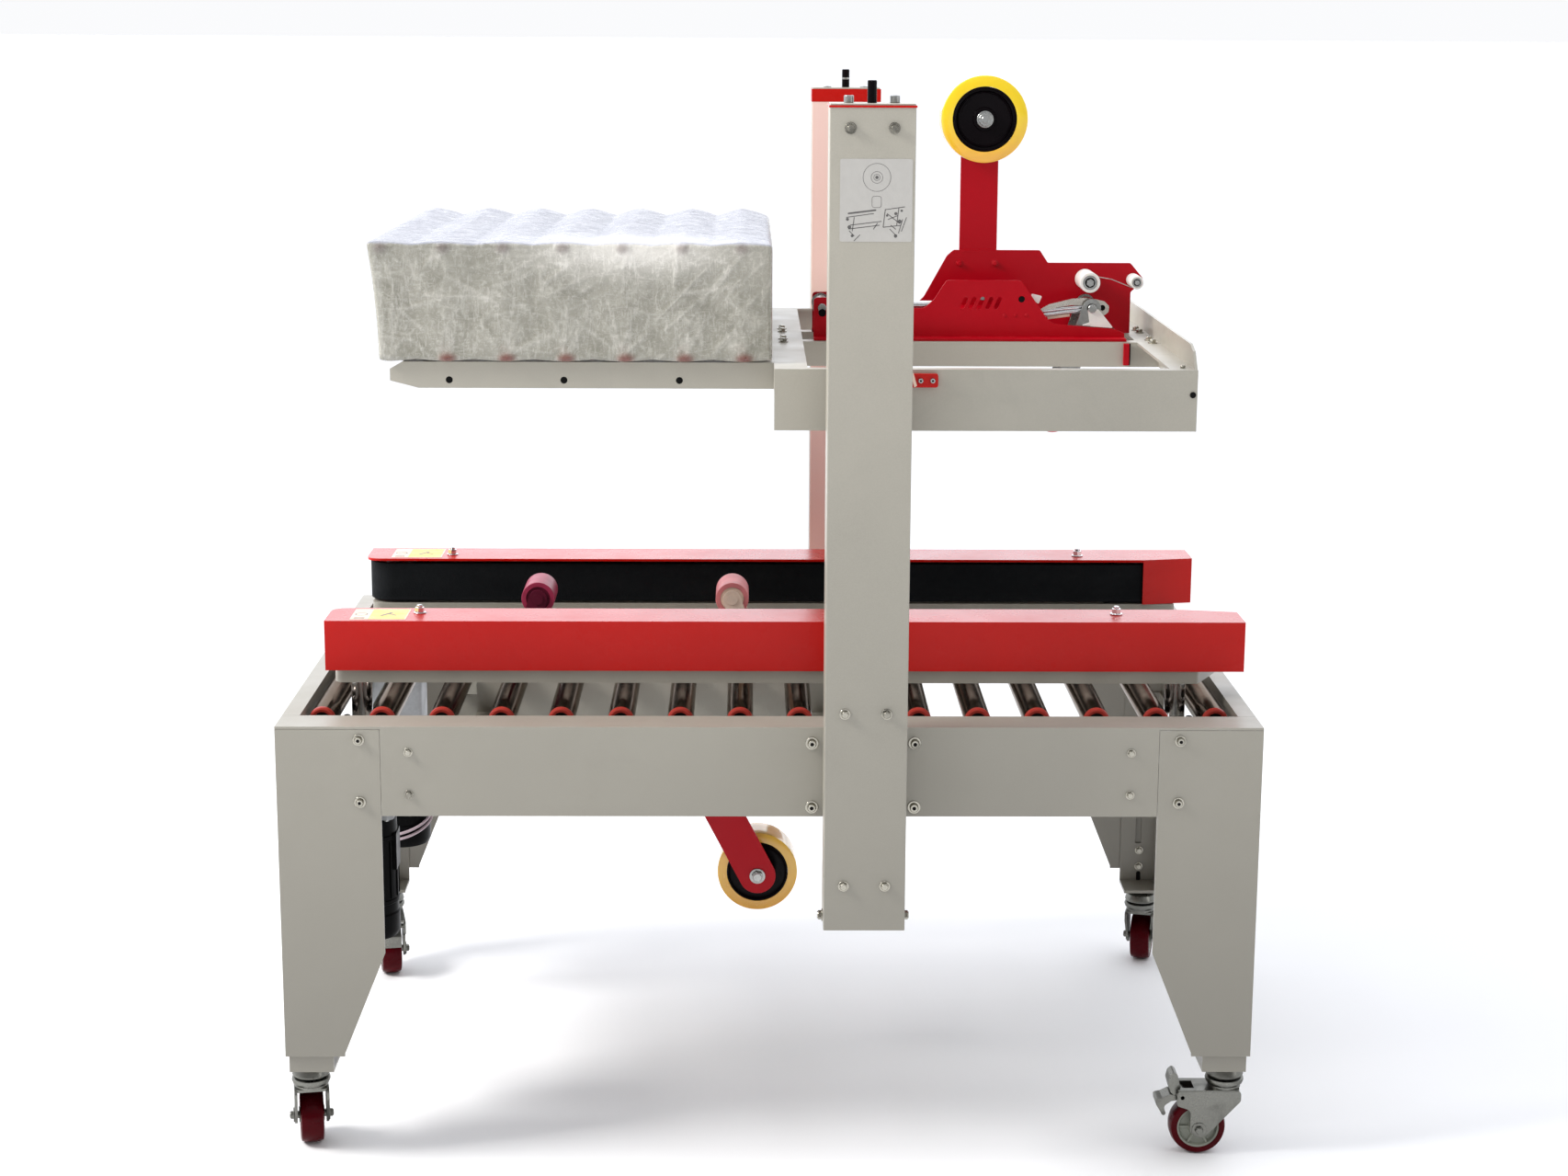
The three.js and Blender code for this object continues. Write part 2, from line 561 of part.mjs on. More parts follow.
function headFrame(reelArm) {
  const inside = HEAD_PLATE_INSIDE;
  const outside = inside + SHEET;
  const pivots = [-1, 1].map((end) =>
    rod('y', 5, -inside - 1, inside + 1, [end * ARM_PIVOT[0], ARM_PIVOT[1]], 12));
  const near = sheetXZ(outline(NEAR_PLATE), [-outside, -inside]);
  const far = sheetXZ(outline(FAR_PLATE), [inside, outside]);
  const nearEar = sheetXZ(outline([[140, 29.3], [182, 29.3], [172, 78], [148, 78]]), [-outside, -inside]);
  const flanges = [-1, 1].map((side) => block([-170, 199], [side * inside, side * 57], [29.3, 32.3]));
  const spacer = rod('y', 5, -inside - 1, inside + 1, [30, 80], 12);
  const bar = sheetXZ(barOutline(reelArm.base, reelArm.hub, REEL_ARM_WIDTH),
    [outside - 0.5, outside + SHEET + 1], 6);
  const axle = rod('y', REEL_AXLE, outside, -REEL_HALF - 8, reelArm.hub, 16);
  const guideLarge = rod('y', 12, -20, inside + 1, [159, 95], 16);
  const guideSmall = rod('y', 8, -5, inside + 1, [217, 94], 12);
  return join(near, nearEar, far, ...flanges, ...pivots, spacer, bar, axle, guideLarge, guideSmall);
}

function headArm(end, drop) {
  const pivot = [end * ARM_PIVOT[0], ARM_PIVOT[1]];
  const tip = [end * TAPE_ROLLER_X, -drop];
  const outside = HEAD_PLATE_INSIDE - 1;
  const links = [-1, 1].map((side) =>
    sheetXZ(barOutline(pivot, tip, 22), [side * (outside - SHEET), side * outside], 4));
  const sleeve = rod('y', 9, -outside, outside, pivot, 12);
  const axle = rod('y', 5, -outside, outside, tip, 8);
  const rubber = rod('y', TAPE_ROLLER_RADIUS, -TAPE_ROLLER_HALF, TAPE_ROLLER_HALF, tip, 18);
  return cut(join(...links, sleeve, axle, rubber), rod('y', 5.6, -outside - 5, outside + 5, pivot, 12));
}

function reel() {
  const hub = REEL_AXLE + 0.8;
  return turned([[hub, -20], [36, -20], [38, -REEL_HALF], [REEL_RADIUS, -REEL_HALF], [REEL_RADIUS, REEL_HALF],
    [38, REEL_HALF], [36, 20], [hub, 20]], 24);
}

function tapeHead(level, reelArm, drop) {
  const head = new THREE.Group();
  add(`${level}_head_frame`, 'headRed', headFrame(reelArm), head);
  add(`${level}_infeed_arm`, 'pinkRubber', headArm(1, drop), head);
  add(`${level}_outfeed_arm`, 'pinkRubber', headArm(-1, drop), head);
  const tape = add(`${level}_tape_reel`, 'tape', toGeometry(toSolid(reel())), head);
  tape.position.set(reelArm.hub[0], 0, reelArm.hub[1]);
  machine.add(head);
  return head;
}

tapeHead('upper', REEL_ARM_UPPER, TAPE_ROLLER_DROP_UPPER).position.set(HEAD_X_UPPER, 0, SLED_BOTTOM);

// The lower head is the same head turned over, on the well's ledges.
const lowerHead = tapeHead('lower', REEL_ARM_LOWER, TAPE_ROLLER_DROP_LOWER);
lowerHead.rotation.x = Math.PI;
lowerHead.position.set(HEAD_X_LOWER, 0, TABLE_TOP);

// ---- side belt units ----
function beltCover({ side, coverStart }) {
  const centre = side * BELT_UNIT_Y;
  const outer = centre + side * COVER_HALF;
  const inner = centre - side * COVER_HALF;
  const tapered = inner + side * COVER_TAPER;
  const wrapStart = HALF_LENGTH - COVER_WRAP;
  const height = [COVER_BOTTOM, COVER_TOP];
  const lid = new THREE.Shape();
  lid.moveTo(coverStart, outer);
  lid.lineTo(HALF_LENGTH, outer);
  lid.lineTo(HALF_LENGTH, tapered);
  lid.lineTo(wrapStart, inner);
  lid.lineTo(coverStart + COVER_CORNER, inner);
  lid.quadraticCurveTo(coverStart, inner, coverStart, inner + side * COVER_CORNER);
  const top = sheetXY(lid, [COVER_TOP - SHEET, COVER_TOP]);
  const wall = block([coverStart, HALF_LENGTH], [outer, outer - side * SHEET], height);
  const end = block([HALF_LENGTH - SHEET, HALF_LENGTH], [outer, tapered], height);
  const wrap = sheetXY(outline([[wrapStart, inner], [HALF_LENGTH, tapered],
    [HALF_LENGTH, tapered + side * SHEET], [wrapStart, inner + side * SHEET]]), height);
  return join(top, wall, end, wrap);
}

function beltLoop({ side, driveX }) {
  const centre = side * BELT_UNIT_Y;
  const outer = sheetXY(barOutline([driveX, centre], [IDLER_X, centre], 2 * BELT_RADIUS),
    [BELT_LOW, BELT_HIGH], 8);
  const inner = sheetXY(barOutline([driveX, centre], [IDLER_X, centre],
    2 * (BELT_RADIUS - BELT_THICKNESS)), [BELT_LOW - 5, BELT_HIGH + 5], 8);
  return cut(outer, inner);
}

// Base plate, belt bed, pulleys, guide posts with their slide blocks, and the hanging gear motor.
function beltChassis({ side, driveX }) {
  const centre = side * BELT_UNIT_Y;
  const outer = centre + side * CHASSIS_HALF;
  const inner = centre - side * CHASSIS_HALF;
  const start = driveX - CHASSIS_OVERHANG;
  const base = sheetXY(outline([[start, outer], [CHASSIS_OUTER_END, outer], [CHASSIS_INNER_END, inner],
    [start, inner]]), [CHASSIS_BOTTOM, COVER_BOTTOM]);
  const core = block([driveX + BED_INSET, IDLER_X - BED_INSET], [centre - BED_HALF, centre + BED_HALF],
    [COVER_BOTTOM - 1, BELT_HIGH]);
  const pulleys = [driveX, IDLER_X].map((x) =>
    rod('z', BELT_RADIUS - BELT_THICKNESS - 1, COVER_BOTTOM - 1, BELT_HIGH, [x, centre], 14));
  const supports = [-POST_X, POST_X].flatMap((x) => [
    rod('z', POST_RADIUS, BLOCK_HIGH - 1, CHASSIS_BOTTOM + 1, [x, centre], 16),
    cut(
      block([x - BLOCK_HALF, x + BLOCK_HALF], [centre - BLOCK_HALF, centre + BLOCK_HALF],
        [BLOCK_LOW, BLOCK_HIGH]),
      rod('y', GUIDE_BORE, centre - BLOCK_HALF - 5, centre + BLOCK_HALF + 5, [x, GUIDE_Z], 12)),
  ]);
  const gearbox = block([driveX - GEARBOX_HALF, driveX + GEARBOX_HALF],
    [centre - GEARBOX_HALF, centre + GEARBOX_HALF], [GEARBOX_BOTTOM, BLOCK_LOW + 1]);
  const motor = rod('z', MOTOR_RADIUS, MOTOR_BOTTOM, GEARBOX_BOTTOM + 1, [driveX, centre], 18);
  return join(base, core, ...pulleys, ...supports, gearbox, motor);
}

for (const unit of BELT_UNITS) {
  add(`${unit.name}_belt_chassis`, 'greyPaint', beltChassis(unit));
  add(`${unit.name}_belt_cover`, 'redPaint', beltCover(unit));
  add(`${unit.name}_drive_belt`, 'blackRubber', beltLoop(unit));
}

export default machine;
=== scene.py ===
"""Looks for a side-belt carton sealer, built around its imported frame.

Lengths are millimetres in the script and become metres when a piece is made. +X is the infeed end,
-Y the near side and +Z up, as in the frame.
"""
import math
import random

import bmesh
import bpy
import numpy as np
from mathutils import Matrix, Vector


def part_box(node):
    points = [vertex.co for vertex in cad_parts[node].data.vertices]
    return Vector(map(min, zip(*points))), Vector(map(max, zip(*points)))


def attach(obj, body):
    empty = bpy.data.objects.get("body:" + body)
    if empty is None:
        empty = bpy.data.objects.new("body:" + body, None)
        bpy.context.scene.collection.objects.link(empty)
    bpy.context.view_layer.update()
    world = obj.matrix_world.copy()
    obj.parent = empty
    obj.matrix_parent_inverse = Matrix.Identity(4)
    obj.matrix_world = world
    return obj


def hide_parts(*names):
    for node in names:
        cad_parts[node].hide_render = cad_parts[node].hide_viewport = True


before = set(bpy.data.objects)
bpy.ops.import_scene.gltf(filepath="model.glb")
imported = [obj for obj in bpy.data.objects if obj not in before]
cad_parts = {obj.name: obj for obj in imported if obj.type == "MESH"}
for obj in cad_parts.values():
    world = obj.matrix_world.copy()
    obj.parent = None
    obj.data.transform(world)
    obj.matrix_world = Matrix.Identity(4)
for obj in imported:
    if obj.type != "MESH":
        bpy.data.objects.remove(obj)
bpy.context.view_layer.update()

MM = 0.001


def span(node):
    """Lowest and highest corner of a CAD node, in millimetres."""
    low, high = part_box(node)
    return low / MM, high / MM


def add_object(name, data):
    thing = bpy.data.objects.new(name, data)
    bpy.context.scene.collection.objects.link(thing)
    return thing


# ---- camera, light and floor ----
FOCAL_PIXELS = 2917.88
IMAGE_WIDTH = 1706
SENSOR = 36.0
PITCH, YAW, ROLL = math.radians(11.76), math.radians(0.81), math.radians(0.29)
CAMERA_PLACE = (-0.0262, -3.2087, 1.26385)


def make_camera():
    data = bpy.data.cameras.new("camera")
    data.sensor_width = SENSOR
    data.lens = FOCAL_PIXELS * SENSOR / IMAGE_WIDTH
    data.clip_end = 2000
    ahead = Vector((math.sin(YAW) * math.cos(PITCH), math.cos(YAW) * math.cos(PITCH), -math.sin(PITCH)))
    level = Vector((math.cos(YAW), -math.sin(YAW), 0))
    upright = level.cross(ahead)
    right = level * math.cos(ROLL) + upright * math.sin(ROLL)
    up = upright * math.cos(ROLL) - level * math.sin(ROLL)
    camera = add_object("camera", data)
    turn = Matrix((right, up, -ahead)).transposed().to_4x4()
    camera.matrix_world = Matrix.Translation(CAMERA_PLACE) @ turn
    bpy.context.scene.camera = camera


def area_light(name, place, target, size, power, colour):
    data = bpy.data.lights.new(name, "AREA")
    data.shape = "RECTANGLE"
    data.size, data.size_y = size
    data.energy = power
    data.color = colour
    lamp = add_object(name, data)
    lamp.location = place
    lamp.rotation_euler = (Vector(target) - Vector(place)).to_track_quat("-Z", "Y").to_euler()


def make_light():
    """A world that is brighter behind and above, with a plain pale backdrop for the camera, and two lamps."""
    world = bpy.data.worlds.new("studio")
    world.use_nodes = True
    bpy.context.scene.world = world
    w = Nodes(world.node_tree)
    coords = w.new("TexCoord").outputs["Generated"]
    lean = w.new("VectorMath", {0: coords, 1: (0, 0.8, 0.6)}, operation="DOT_PRODUCT").outputs["Value"]
    height = w.new("MapRange", {"Value": lean, "From Min": -1}).outputs[0]
    sky = w.tree.nodes["Background"]
    w.put(sky.inputs["Color"], w.ramp(height, (0.15, (0.14, 0.136, 0.13)), (0.48, (0.40, 0.40, 0.41)),
                                      (0.78, (0.62, 0.64, 0.68)), (0.93, (0.90, 0.92, 0.97))))
    w.put(sky.inputs["Strength"], 1.85)
    backdrop = w.new("Background", {"Color": (0.96, 0.965, 0.98)})
    seen = w.new("MixShader", {0: w.new("LightPath").outputs["Is Camera Ray"], 1: sky.outputs[0],
                               2: backdrop.outputs[0]})
    w.put(w.tree.nodes["World Output"].inputs["Surface"], seen.outputs[0])
    area_light("key", (-3.0, -0.9, 3.1), (0.1, 0, 0.8), (1.3, 1.3), 150, (1.0, 0.985, 0.965))
    area_light("side", (3.4, -1.8, 1.6), (0, 0, 0.6), (1.0, 1.8), 9, (1.0, 0.99, 0.97))


def make_floor():
    mesh = bpy.data.meshes.new("floor")
    reach = 400
    mesh.from_pydata([(x, y, 0) for x, y in rectangle((-reach, reach), (-reach, reach))], [], [(0, 1, 2, 3)])
    floor = add_object("floor", mesh)
    g = Graph("pale_floor")
    g.set(Base_Color=g.mix(g.noise(1.2, 3), (0.86, 0.86, 0.865), (0.90, 0.90, 0.90)), Roughness=0.75)
    mesh.materials.append(g.material)


# ---- materials ----
class Nodes:
    """A node tree under construction."""

    def __init__(self, tree):
        self.tree = tree

    def put(self, socket, value):
        if isinstance(value, (int, float)):
            socket.default_value = value
        elif isinstance(value, tuple):
            socket.default_value = (*value, 1) if len(value) == 3 and socket.type == "RGBA" else value
        else:
            self.tree.links.new(value, socket)

    def new(self, kind, inputs=(), **settings):
        """A node with its settings, and its inputs set to values or linked to other nodes' outputs."""
        made = self.tree.nodes.new(f"ShaderNode{kind}")
        for name, value in settings.items():
            setattr(made, name, value)
        for socket, value in dict(inputs).items():
            self.put(made.inputs[socket], value)
        return made

    def ramp(self, value, *stops):
        """Maps a value through stops of a position and a brightness or colour."""
        made = self.new("ValToRGB", {0: value})
        points = made.color_ramp.elements
        while len(points) < len(stops):
            points.new(0.5)
        for point, (position, level) in zip(points, stops):
            point.position = position
            point.color = (*level, 1) if isinstance(level, tuple) else (level, level, level, 1)
        return made.outputs[0]


class Graph(Nodes):
    """A material under construction: one Principled shader and the textures that drive it."""

    def __init__(self, name, metallic=0.0, **sockets):
        self.material = bpy.data.materials.new(name)
        self.material.use_nodes = True
        super().__init__(self.material.node_tree)
        self.shader = self.tree.nodes["Principled BSDF"]
        self.place = self.new("TexCoord").outputs["Object"]
        self.set(Metallic=metallic, **sockets)

    def set(self, **sockets):
        for socket, value in sockets.items():
            self.put(self.shader.inputs[socket.replace("_", " ")], value)

    def mapped(self, socket, value):
        """The place with a shift or stretch on it, or as it is when value is None."""
        if value is None:
            return self.place
        return self.new("Mapping", {"Vector": self.place, socket: value}).outputs[0]

    def noise(self, scale, detail=3, rough=0.5, stretch=None, distortion=0.0):
        inputs = {"Scale": scale, "Detail": detail, "Roughness": rough, "Distortion": distortion}
        return self.new("TexNoise", {"Vector": self.mapped("Scale", stretch), **inputs}).outputs["Fac"]

    def cells(self, scale, feature="F1", stretch=None):
        return self.new("TexVoronoi", {"Vector": self.mapped("Scale", stretch), "Scale": scale},
                        feature=feature).outputs["Distance"]

    def rings(self, scale, centre, across, distortion=0.0):
        """Concentric rings about a centre point; across is the axis that the rings don't change along."""
        shifted = self.mapped("Location", tuple(-MM * c for c in centre))
        inputs = {"Vector": shifted, "Scale": scale, "Distortion": distortion, "Detail": 3.0}
        return self.new("TexWave", inputs, wave_type="RINGS", rings_direction=across).outputs["Fac"]

    def part(self, vector, axis):
        """One component of a vector."""
        return self.new("SeparateXYZ", {0: vector}).outputs[axis]

    def normal(self):
        return self.new("NewGeometry").outputs["Normal"]

    def math(self, kind, a, b=0.0):
        return self.new("Math", {0: a, 1: b}, operation=kind, use_clamp=True).outputs[0]

    def mix(self, share, a, b):
        return self.new("Mix", {0: share, 6: a, 7: b}, data_type="RGBA").outputs[2]

    def cloudy(self, mask, colour, low, high):
        """A colour that drifts between a darker and a lighter shade of itself."""
        return self.mix(self.ramp(mask, (0.3, 0.0), (0.7, 1.0)), shade(colour, low), shade(colour, high))

    def edges(self, radius=1.6):
        """1 on edges and corners and 0 on flat faces."""
        bevel = self.new("Bevel", {"Radius": radius * MM}, samples=4).outputs[0]
        dot = self.new("VectorMath", {0: bevel, 1: self.normal()}, operation="DOT_PRODUCT").outputs["Value"]
        return self.ramp(self.math("SUBTRACT", 1.0, dot), (0.02, 0.0), (0.30, 1.0))

    def bump(self, *layers):
        """Stacks (height, strength, distance in mm) layers of bump."""
        below = {}
        for height, strength, distance in layers:
            inputs = {"Strength": strength, "Distance": distance * MM, "Height": height, **below}
            below = {"Normal": self.new("Bump", inputs).outputs[0]}
        self.set(**below)


def shade(colour, factor):
    return tuple(c * factor for c in colour)


def paint(name, colour, bare, roughness=0.4, coat=0.15, wear=0.6, gloss=0.5, low_dust_and_shade=0.0, near_painted_light=None,
          coat_ior=1.5):
    """Powder coat: mottled colour, orange peel, a darkening low down that is painted shade with some dust,
    and scuffs where edges rub through.

    The near tint is painted light: a bright pink tone, with a painted reflection of red, on the faces that
    look towards the near side."""
    g = Graph(name, Coat_Weight=coat, Coat_Roughness=0.25, Coat_IOR=coat_ior, Specular_IOR_Level=gloss)
    # Darker towards the bottom by height: painted shade, with some dust.
    low = g.ramp(g.part(g.place, "Z"), (0.15, low_dust_and_shade), (1.0, 0.0))
    cloud = g.noise(4.0, 4, 0.6)
    grain = g.noise(900.0, 2, 0.7)
    speck = g.mix(g.ramp(grain, (0.35, 0.0), (0.65, 0.35)), g.cloudy(cloud, colour, 0.93, 1.06),
                  shade(colour, 1.18))
    smudge = g.ramp(g.noise(11.0, 5, 0.7, distortion=0.8), (0.56, 0.0), (0.78, 0.30))
    smudged_dust_and_shade = g.mix(low, g.mix(smudge, speck, shade(colour, 0.80)), shade(colour, 0.5))
    # Painted light: faces that look towards the near side take a bright pink tone with a painted red
    # reflection.
    if near_painted_light:
        near = g.ramp(g.math("MULTIPLY", g.part(g.normal(), "Y"), -1.0), (0.4, 0.0), (0.8, 1.0))
        smudged_dust_and_shade = g.mix(near, smudged_dust_and_shade, g.mix(cloud, shade(near_painted_light, 0.96), near_painted_light))
    scuff = g.math("MULTIPLY", g.edges(), g.ramp(g.noise(60.0, 5, 0.75), (0.50, 0.0), (0.68, wear)))
    g.set(Base_Color=g.mix(scuff, smudged_dust_and_shade, bare),
          Roughness=g.ramp(g.noise(17.0, 4, 0.6), (0.3, roughness - 0.07), (0.7, roughness + 0.10)))
    g.bump((g.noise(330.0, 2, 0.4), 0.22, 0.25), (grain, 0.10, 0.06))
    return g.material


def metal(name, colour, roughness, brush=None, stain=0.25, metallic=1.0, dark=0.55, rim=(1, 1, 1)):
    """Bare or plated metal with brush lines, stains and fine scratches; rim tints its grazing reflections."""
    g = Graph(name, metallic, Specular_Tint=rim)
    lines = g.noise(900.0 if brush else 420.0, 4, 0.7, brush)
    cloud = g.noise(24.0, 5, 0.65, distortion=0.5)
    g.set(Base_Color=g.mix(g.ramp(cloud, (0.5, 0.0), (0.75, stain)), g.cloudy(lines, colour, 0.86, 1.08),
                           shade(colour, dark)),
          Roughness=g.math("ADD", g.ramp(cloud, (0.3, roughness * 0.75), (0.75, roughness * 1.3)),
                           g.ramp(lines, (0.4, 0.0), (0.8, 0.06))))
    g.bump((lines, 0.20, 0.05), (g.noise(70.0, 4, 0.6), 0.10, 0.10))
    return g.material


def polymer(name, colour, roughness, grain=500.0, relief=0.2, coat=0.0, sub=0.0, fade=1.25, gloss=0.5):
    """Rubber or plastic: soft tone changes, a fine moulded grain and rubbed patches."""
    g = Graph(name, Coat_Weight=coat, Coat_Roughness=0.15, Subsurface_Weight=sub, Specular_IOR_Level=gloss)
    cloud = g.noise(30.0, 4, 0.6)
    rub = g.math("MULTIPLY", g.edges(1.2), g.ramp(g.noise(110.0, 4, 0.7), (0.4, 0.0), (0.7, 0.35)))
    g.set(Base_Color=g.mix(rub, g.cloudy(cloud, colour, 0.86, fade),
                           tuple(min(1.0, c * 1.6 + 0.012) for c in colour)),
          Roughness=g.ramp(g.noise(45.0, 4, 0.6), (0.3, roughness - 0.08), (0.7, roughness + 0.08)))
    g.bump((g.noise(grain, 3, 0.6), relief, 0.12), (cloud, 0.1, 0.3))
    return g.material


def belt_rubber():
    """Black drive belt with a fine diagonal rough top."""
    g = Graph("drive_belt_rubber", Specular_IOR_Level=0.15)
    weave = g.math("MULTIPLY", g.cells(420.0, stretch=(1, 1, 0.6)), 1.6)
    dust = g.ramp(g.noise(14.0, 5, 0.7, (0.4, 1, 2)), (0.45, 0.0), (0.8, 0.35))
    g.set(Base_Color=g.mix(dust, (0.002, 0.003, 0.004), (0.012, 0.013, 0.014)),
          Roughness=g.ramp(g.noise(35.0, 3), (0.3, 0.55), (0.7, 0.75)))
    g.bump((weave, 0.6, 0.35), (g.noise(260.0), 0.2, 0.1))
    return g.material


def tape_film(name, centre, deep, bright):
    """Wound adhesive tape: glossy amber with the fine rings of its turns on both faces, painted with shade
    low on the roll and light higher up.
    """
    g = Graph(name, Coat_Weight=0.8, Coat_Roughness=0.06, Subsurface_Weight=0.15,
              Subsurface_Radius=(0.004, 0.002, 0.0006))
    turns = g.rings(900.0, centre, "Y", 0.6)
    cloud = g.noise(26.0, 3, 0.5, distortion=1.5)
    # Painted shade and light: the deep tone low on the roll turns into the bright tone higher up.
    height = g.math("MULTIPLY", g.math("SUBTRACT", g.part(g.place, "Z"), (centre.z - 50) * MM), 10.0)
    low = g.mix(g.ramp(cloud, (0.35, 0.0), (0.7, 1.0)), deep, shade(deep, 0.9))
    shaded_below_lit_above = g.mix(g.ramp(height, (0.05, 0.0), (0.55, 1.0)), low, bright)
    g.set(Base_Color=g.mix(g.ramp(turns, (0.1, 0.0), (0.9, 0.35)), shaded_below_lit_above, shade(bright, 1.06)),
          Roughness=g.ramp(cloud, (0.3, 0.16), (0.7, 0.28)))
    g.bump((turns, 0.12, 0.08), (g.noise(90.0), 0.12, 0.2))
    return g.material


def stretch_film():
    """Clear wrapping film: see-through where taut, milky along its folds, stained by what it presses on, with
    a painted glare near the top of its near face and a painted sky reflection on its top.
    """
    g = Graph("stretch_film", Coat_Roughness=0.10)

    def scaled(value, factor):
        return g.math("MULTIPLY", value, factor)

    def total(*values):
        first, *rest = values
        for value in rest:
            first = g.math("ADD", first, value)
        return first

    crease, rust, knob, layers = (g.new("Attribute", attribute_name=name).outputs["Fac"]
                                  for name in FILM_LAYERS)
    upward = g.ramp(g.part(g.normal(), "Z"), (0.35, 0.0), (0.85, 1.0))
    strands = g.ramp(g.noise(150.0, 7, 0.74, distortion=2.2), (0.50, 0.0), (0.66, 0.9))
    threads = g.ramp(g.noise(95.0, 6, 0.65, (2.6, 1.0, 0.6), 0.9), (0.52, 0.0), (0.66, 0.9))
    pulls = g.ramp(g.noise(70.0, 6, 0.68, (0.7, 1.0, 2.8), 1.2), (0.54, 0.0), (0.68, 0.8))
    mottle = g.ramp(g.noise(26.0, 5, 0.65, distortion=1.0), (0.34, 0.0), (0.66, 1.0))
    folds = scaled(crease, g.ramp(g.noise(60.0, 4, 0.7), (0.35, 0.10), (0.7, 0.42)))
    # The layers attribute adds a painted glare to the milky strands and folds.
    milk_and_glare = total(scaled(total(strands, threads, pulls), 0.24), folds, scaled(layers, 0.75))
    side = g.mix(milk_and_glare, g.mix(mottle, (0.31, 0.30, 0.245), (0.46, 0.445, 0.38)), (0.90, 0.87, 0.81))
    # Painted reflection: the top faces take a bluish lavender tone that stands for the sky they reflect.
    top = g.mix(milk_and_glare, g.mix(mottle, (0.29, 0.30, 0.345), (0.39, 0.40, 0.45)), (0.66, 0.66, 0.71))
    spotted = g.mix(scaled(rust, 0.9), g.mix(upward, side, top), (0.22, 0.055, 0.04))
    g.set(Base_Color=g.mix(scaled(knob, 0.65), spotted, (0.24, 0.19, 0.18)),
          Roughness=g.ramp(g.noise(60.0, 4), (0.3, 0.18), (0.7, 0.42)),
          Coat_Weight=scaled(g.math("SUBTRACT", 1.0, upward), 0.55),
          Specular_IOR_Level=g.math("SUBTRACT", 0.5, scaled(upward, 0.38)))
    g.bump((g.noise(42.0, 5, 0.65, distortion=1.4), 0.60, 1.8), (g.cells(75.0, "SMOOTH_F1"), 0.35, 1.0),
           (g.noise(240.0, 5, 0.7, distortion=1.0), 0.50, 0.35))
    share = g.math("ADD", scaled(milk_and_glare, 0.4), g.math("ADD", 0.74, scaled(upward, 0.16)))
    clear = g.new("BsdfTransparent", {0: (0.97, 0.97, 0.96)}).outputs[0]
    blend = g.new("MixShader", {0: share, 1: clear, 2: g.shader.outputs[0]}).outputs[0]
    g.put(g.tree.nodes["Material Output"].inputs["Surface"], blend)
    return g.material


def printed(name, colour, roughness=0.5):
    """Paper or foil label stock, slightly mottled."""
    g = Graph(name, Coat_Weight=0.3, Coat_Roughness=0.2)
    g.set(Base_Color=g.mix(g.noise(120.0, 4), shade(colour, 0.92), shade(colour, 1.04)),
          Roughness=g.ramp(g.noise(40.0), (0.3, roughness - 0.1), (0.7, roughness + 0.1)))
    g.bump((g.noise(500.0, 2), 0.15, 0.05), (g.noise(30.0, 3), 0.2, 0.4))
    return g.material


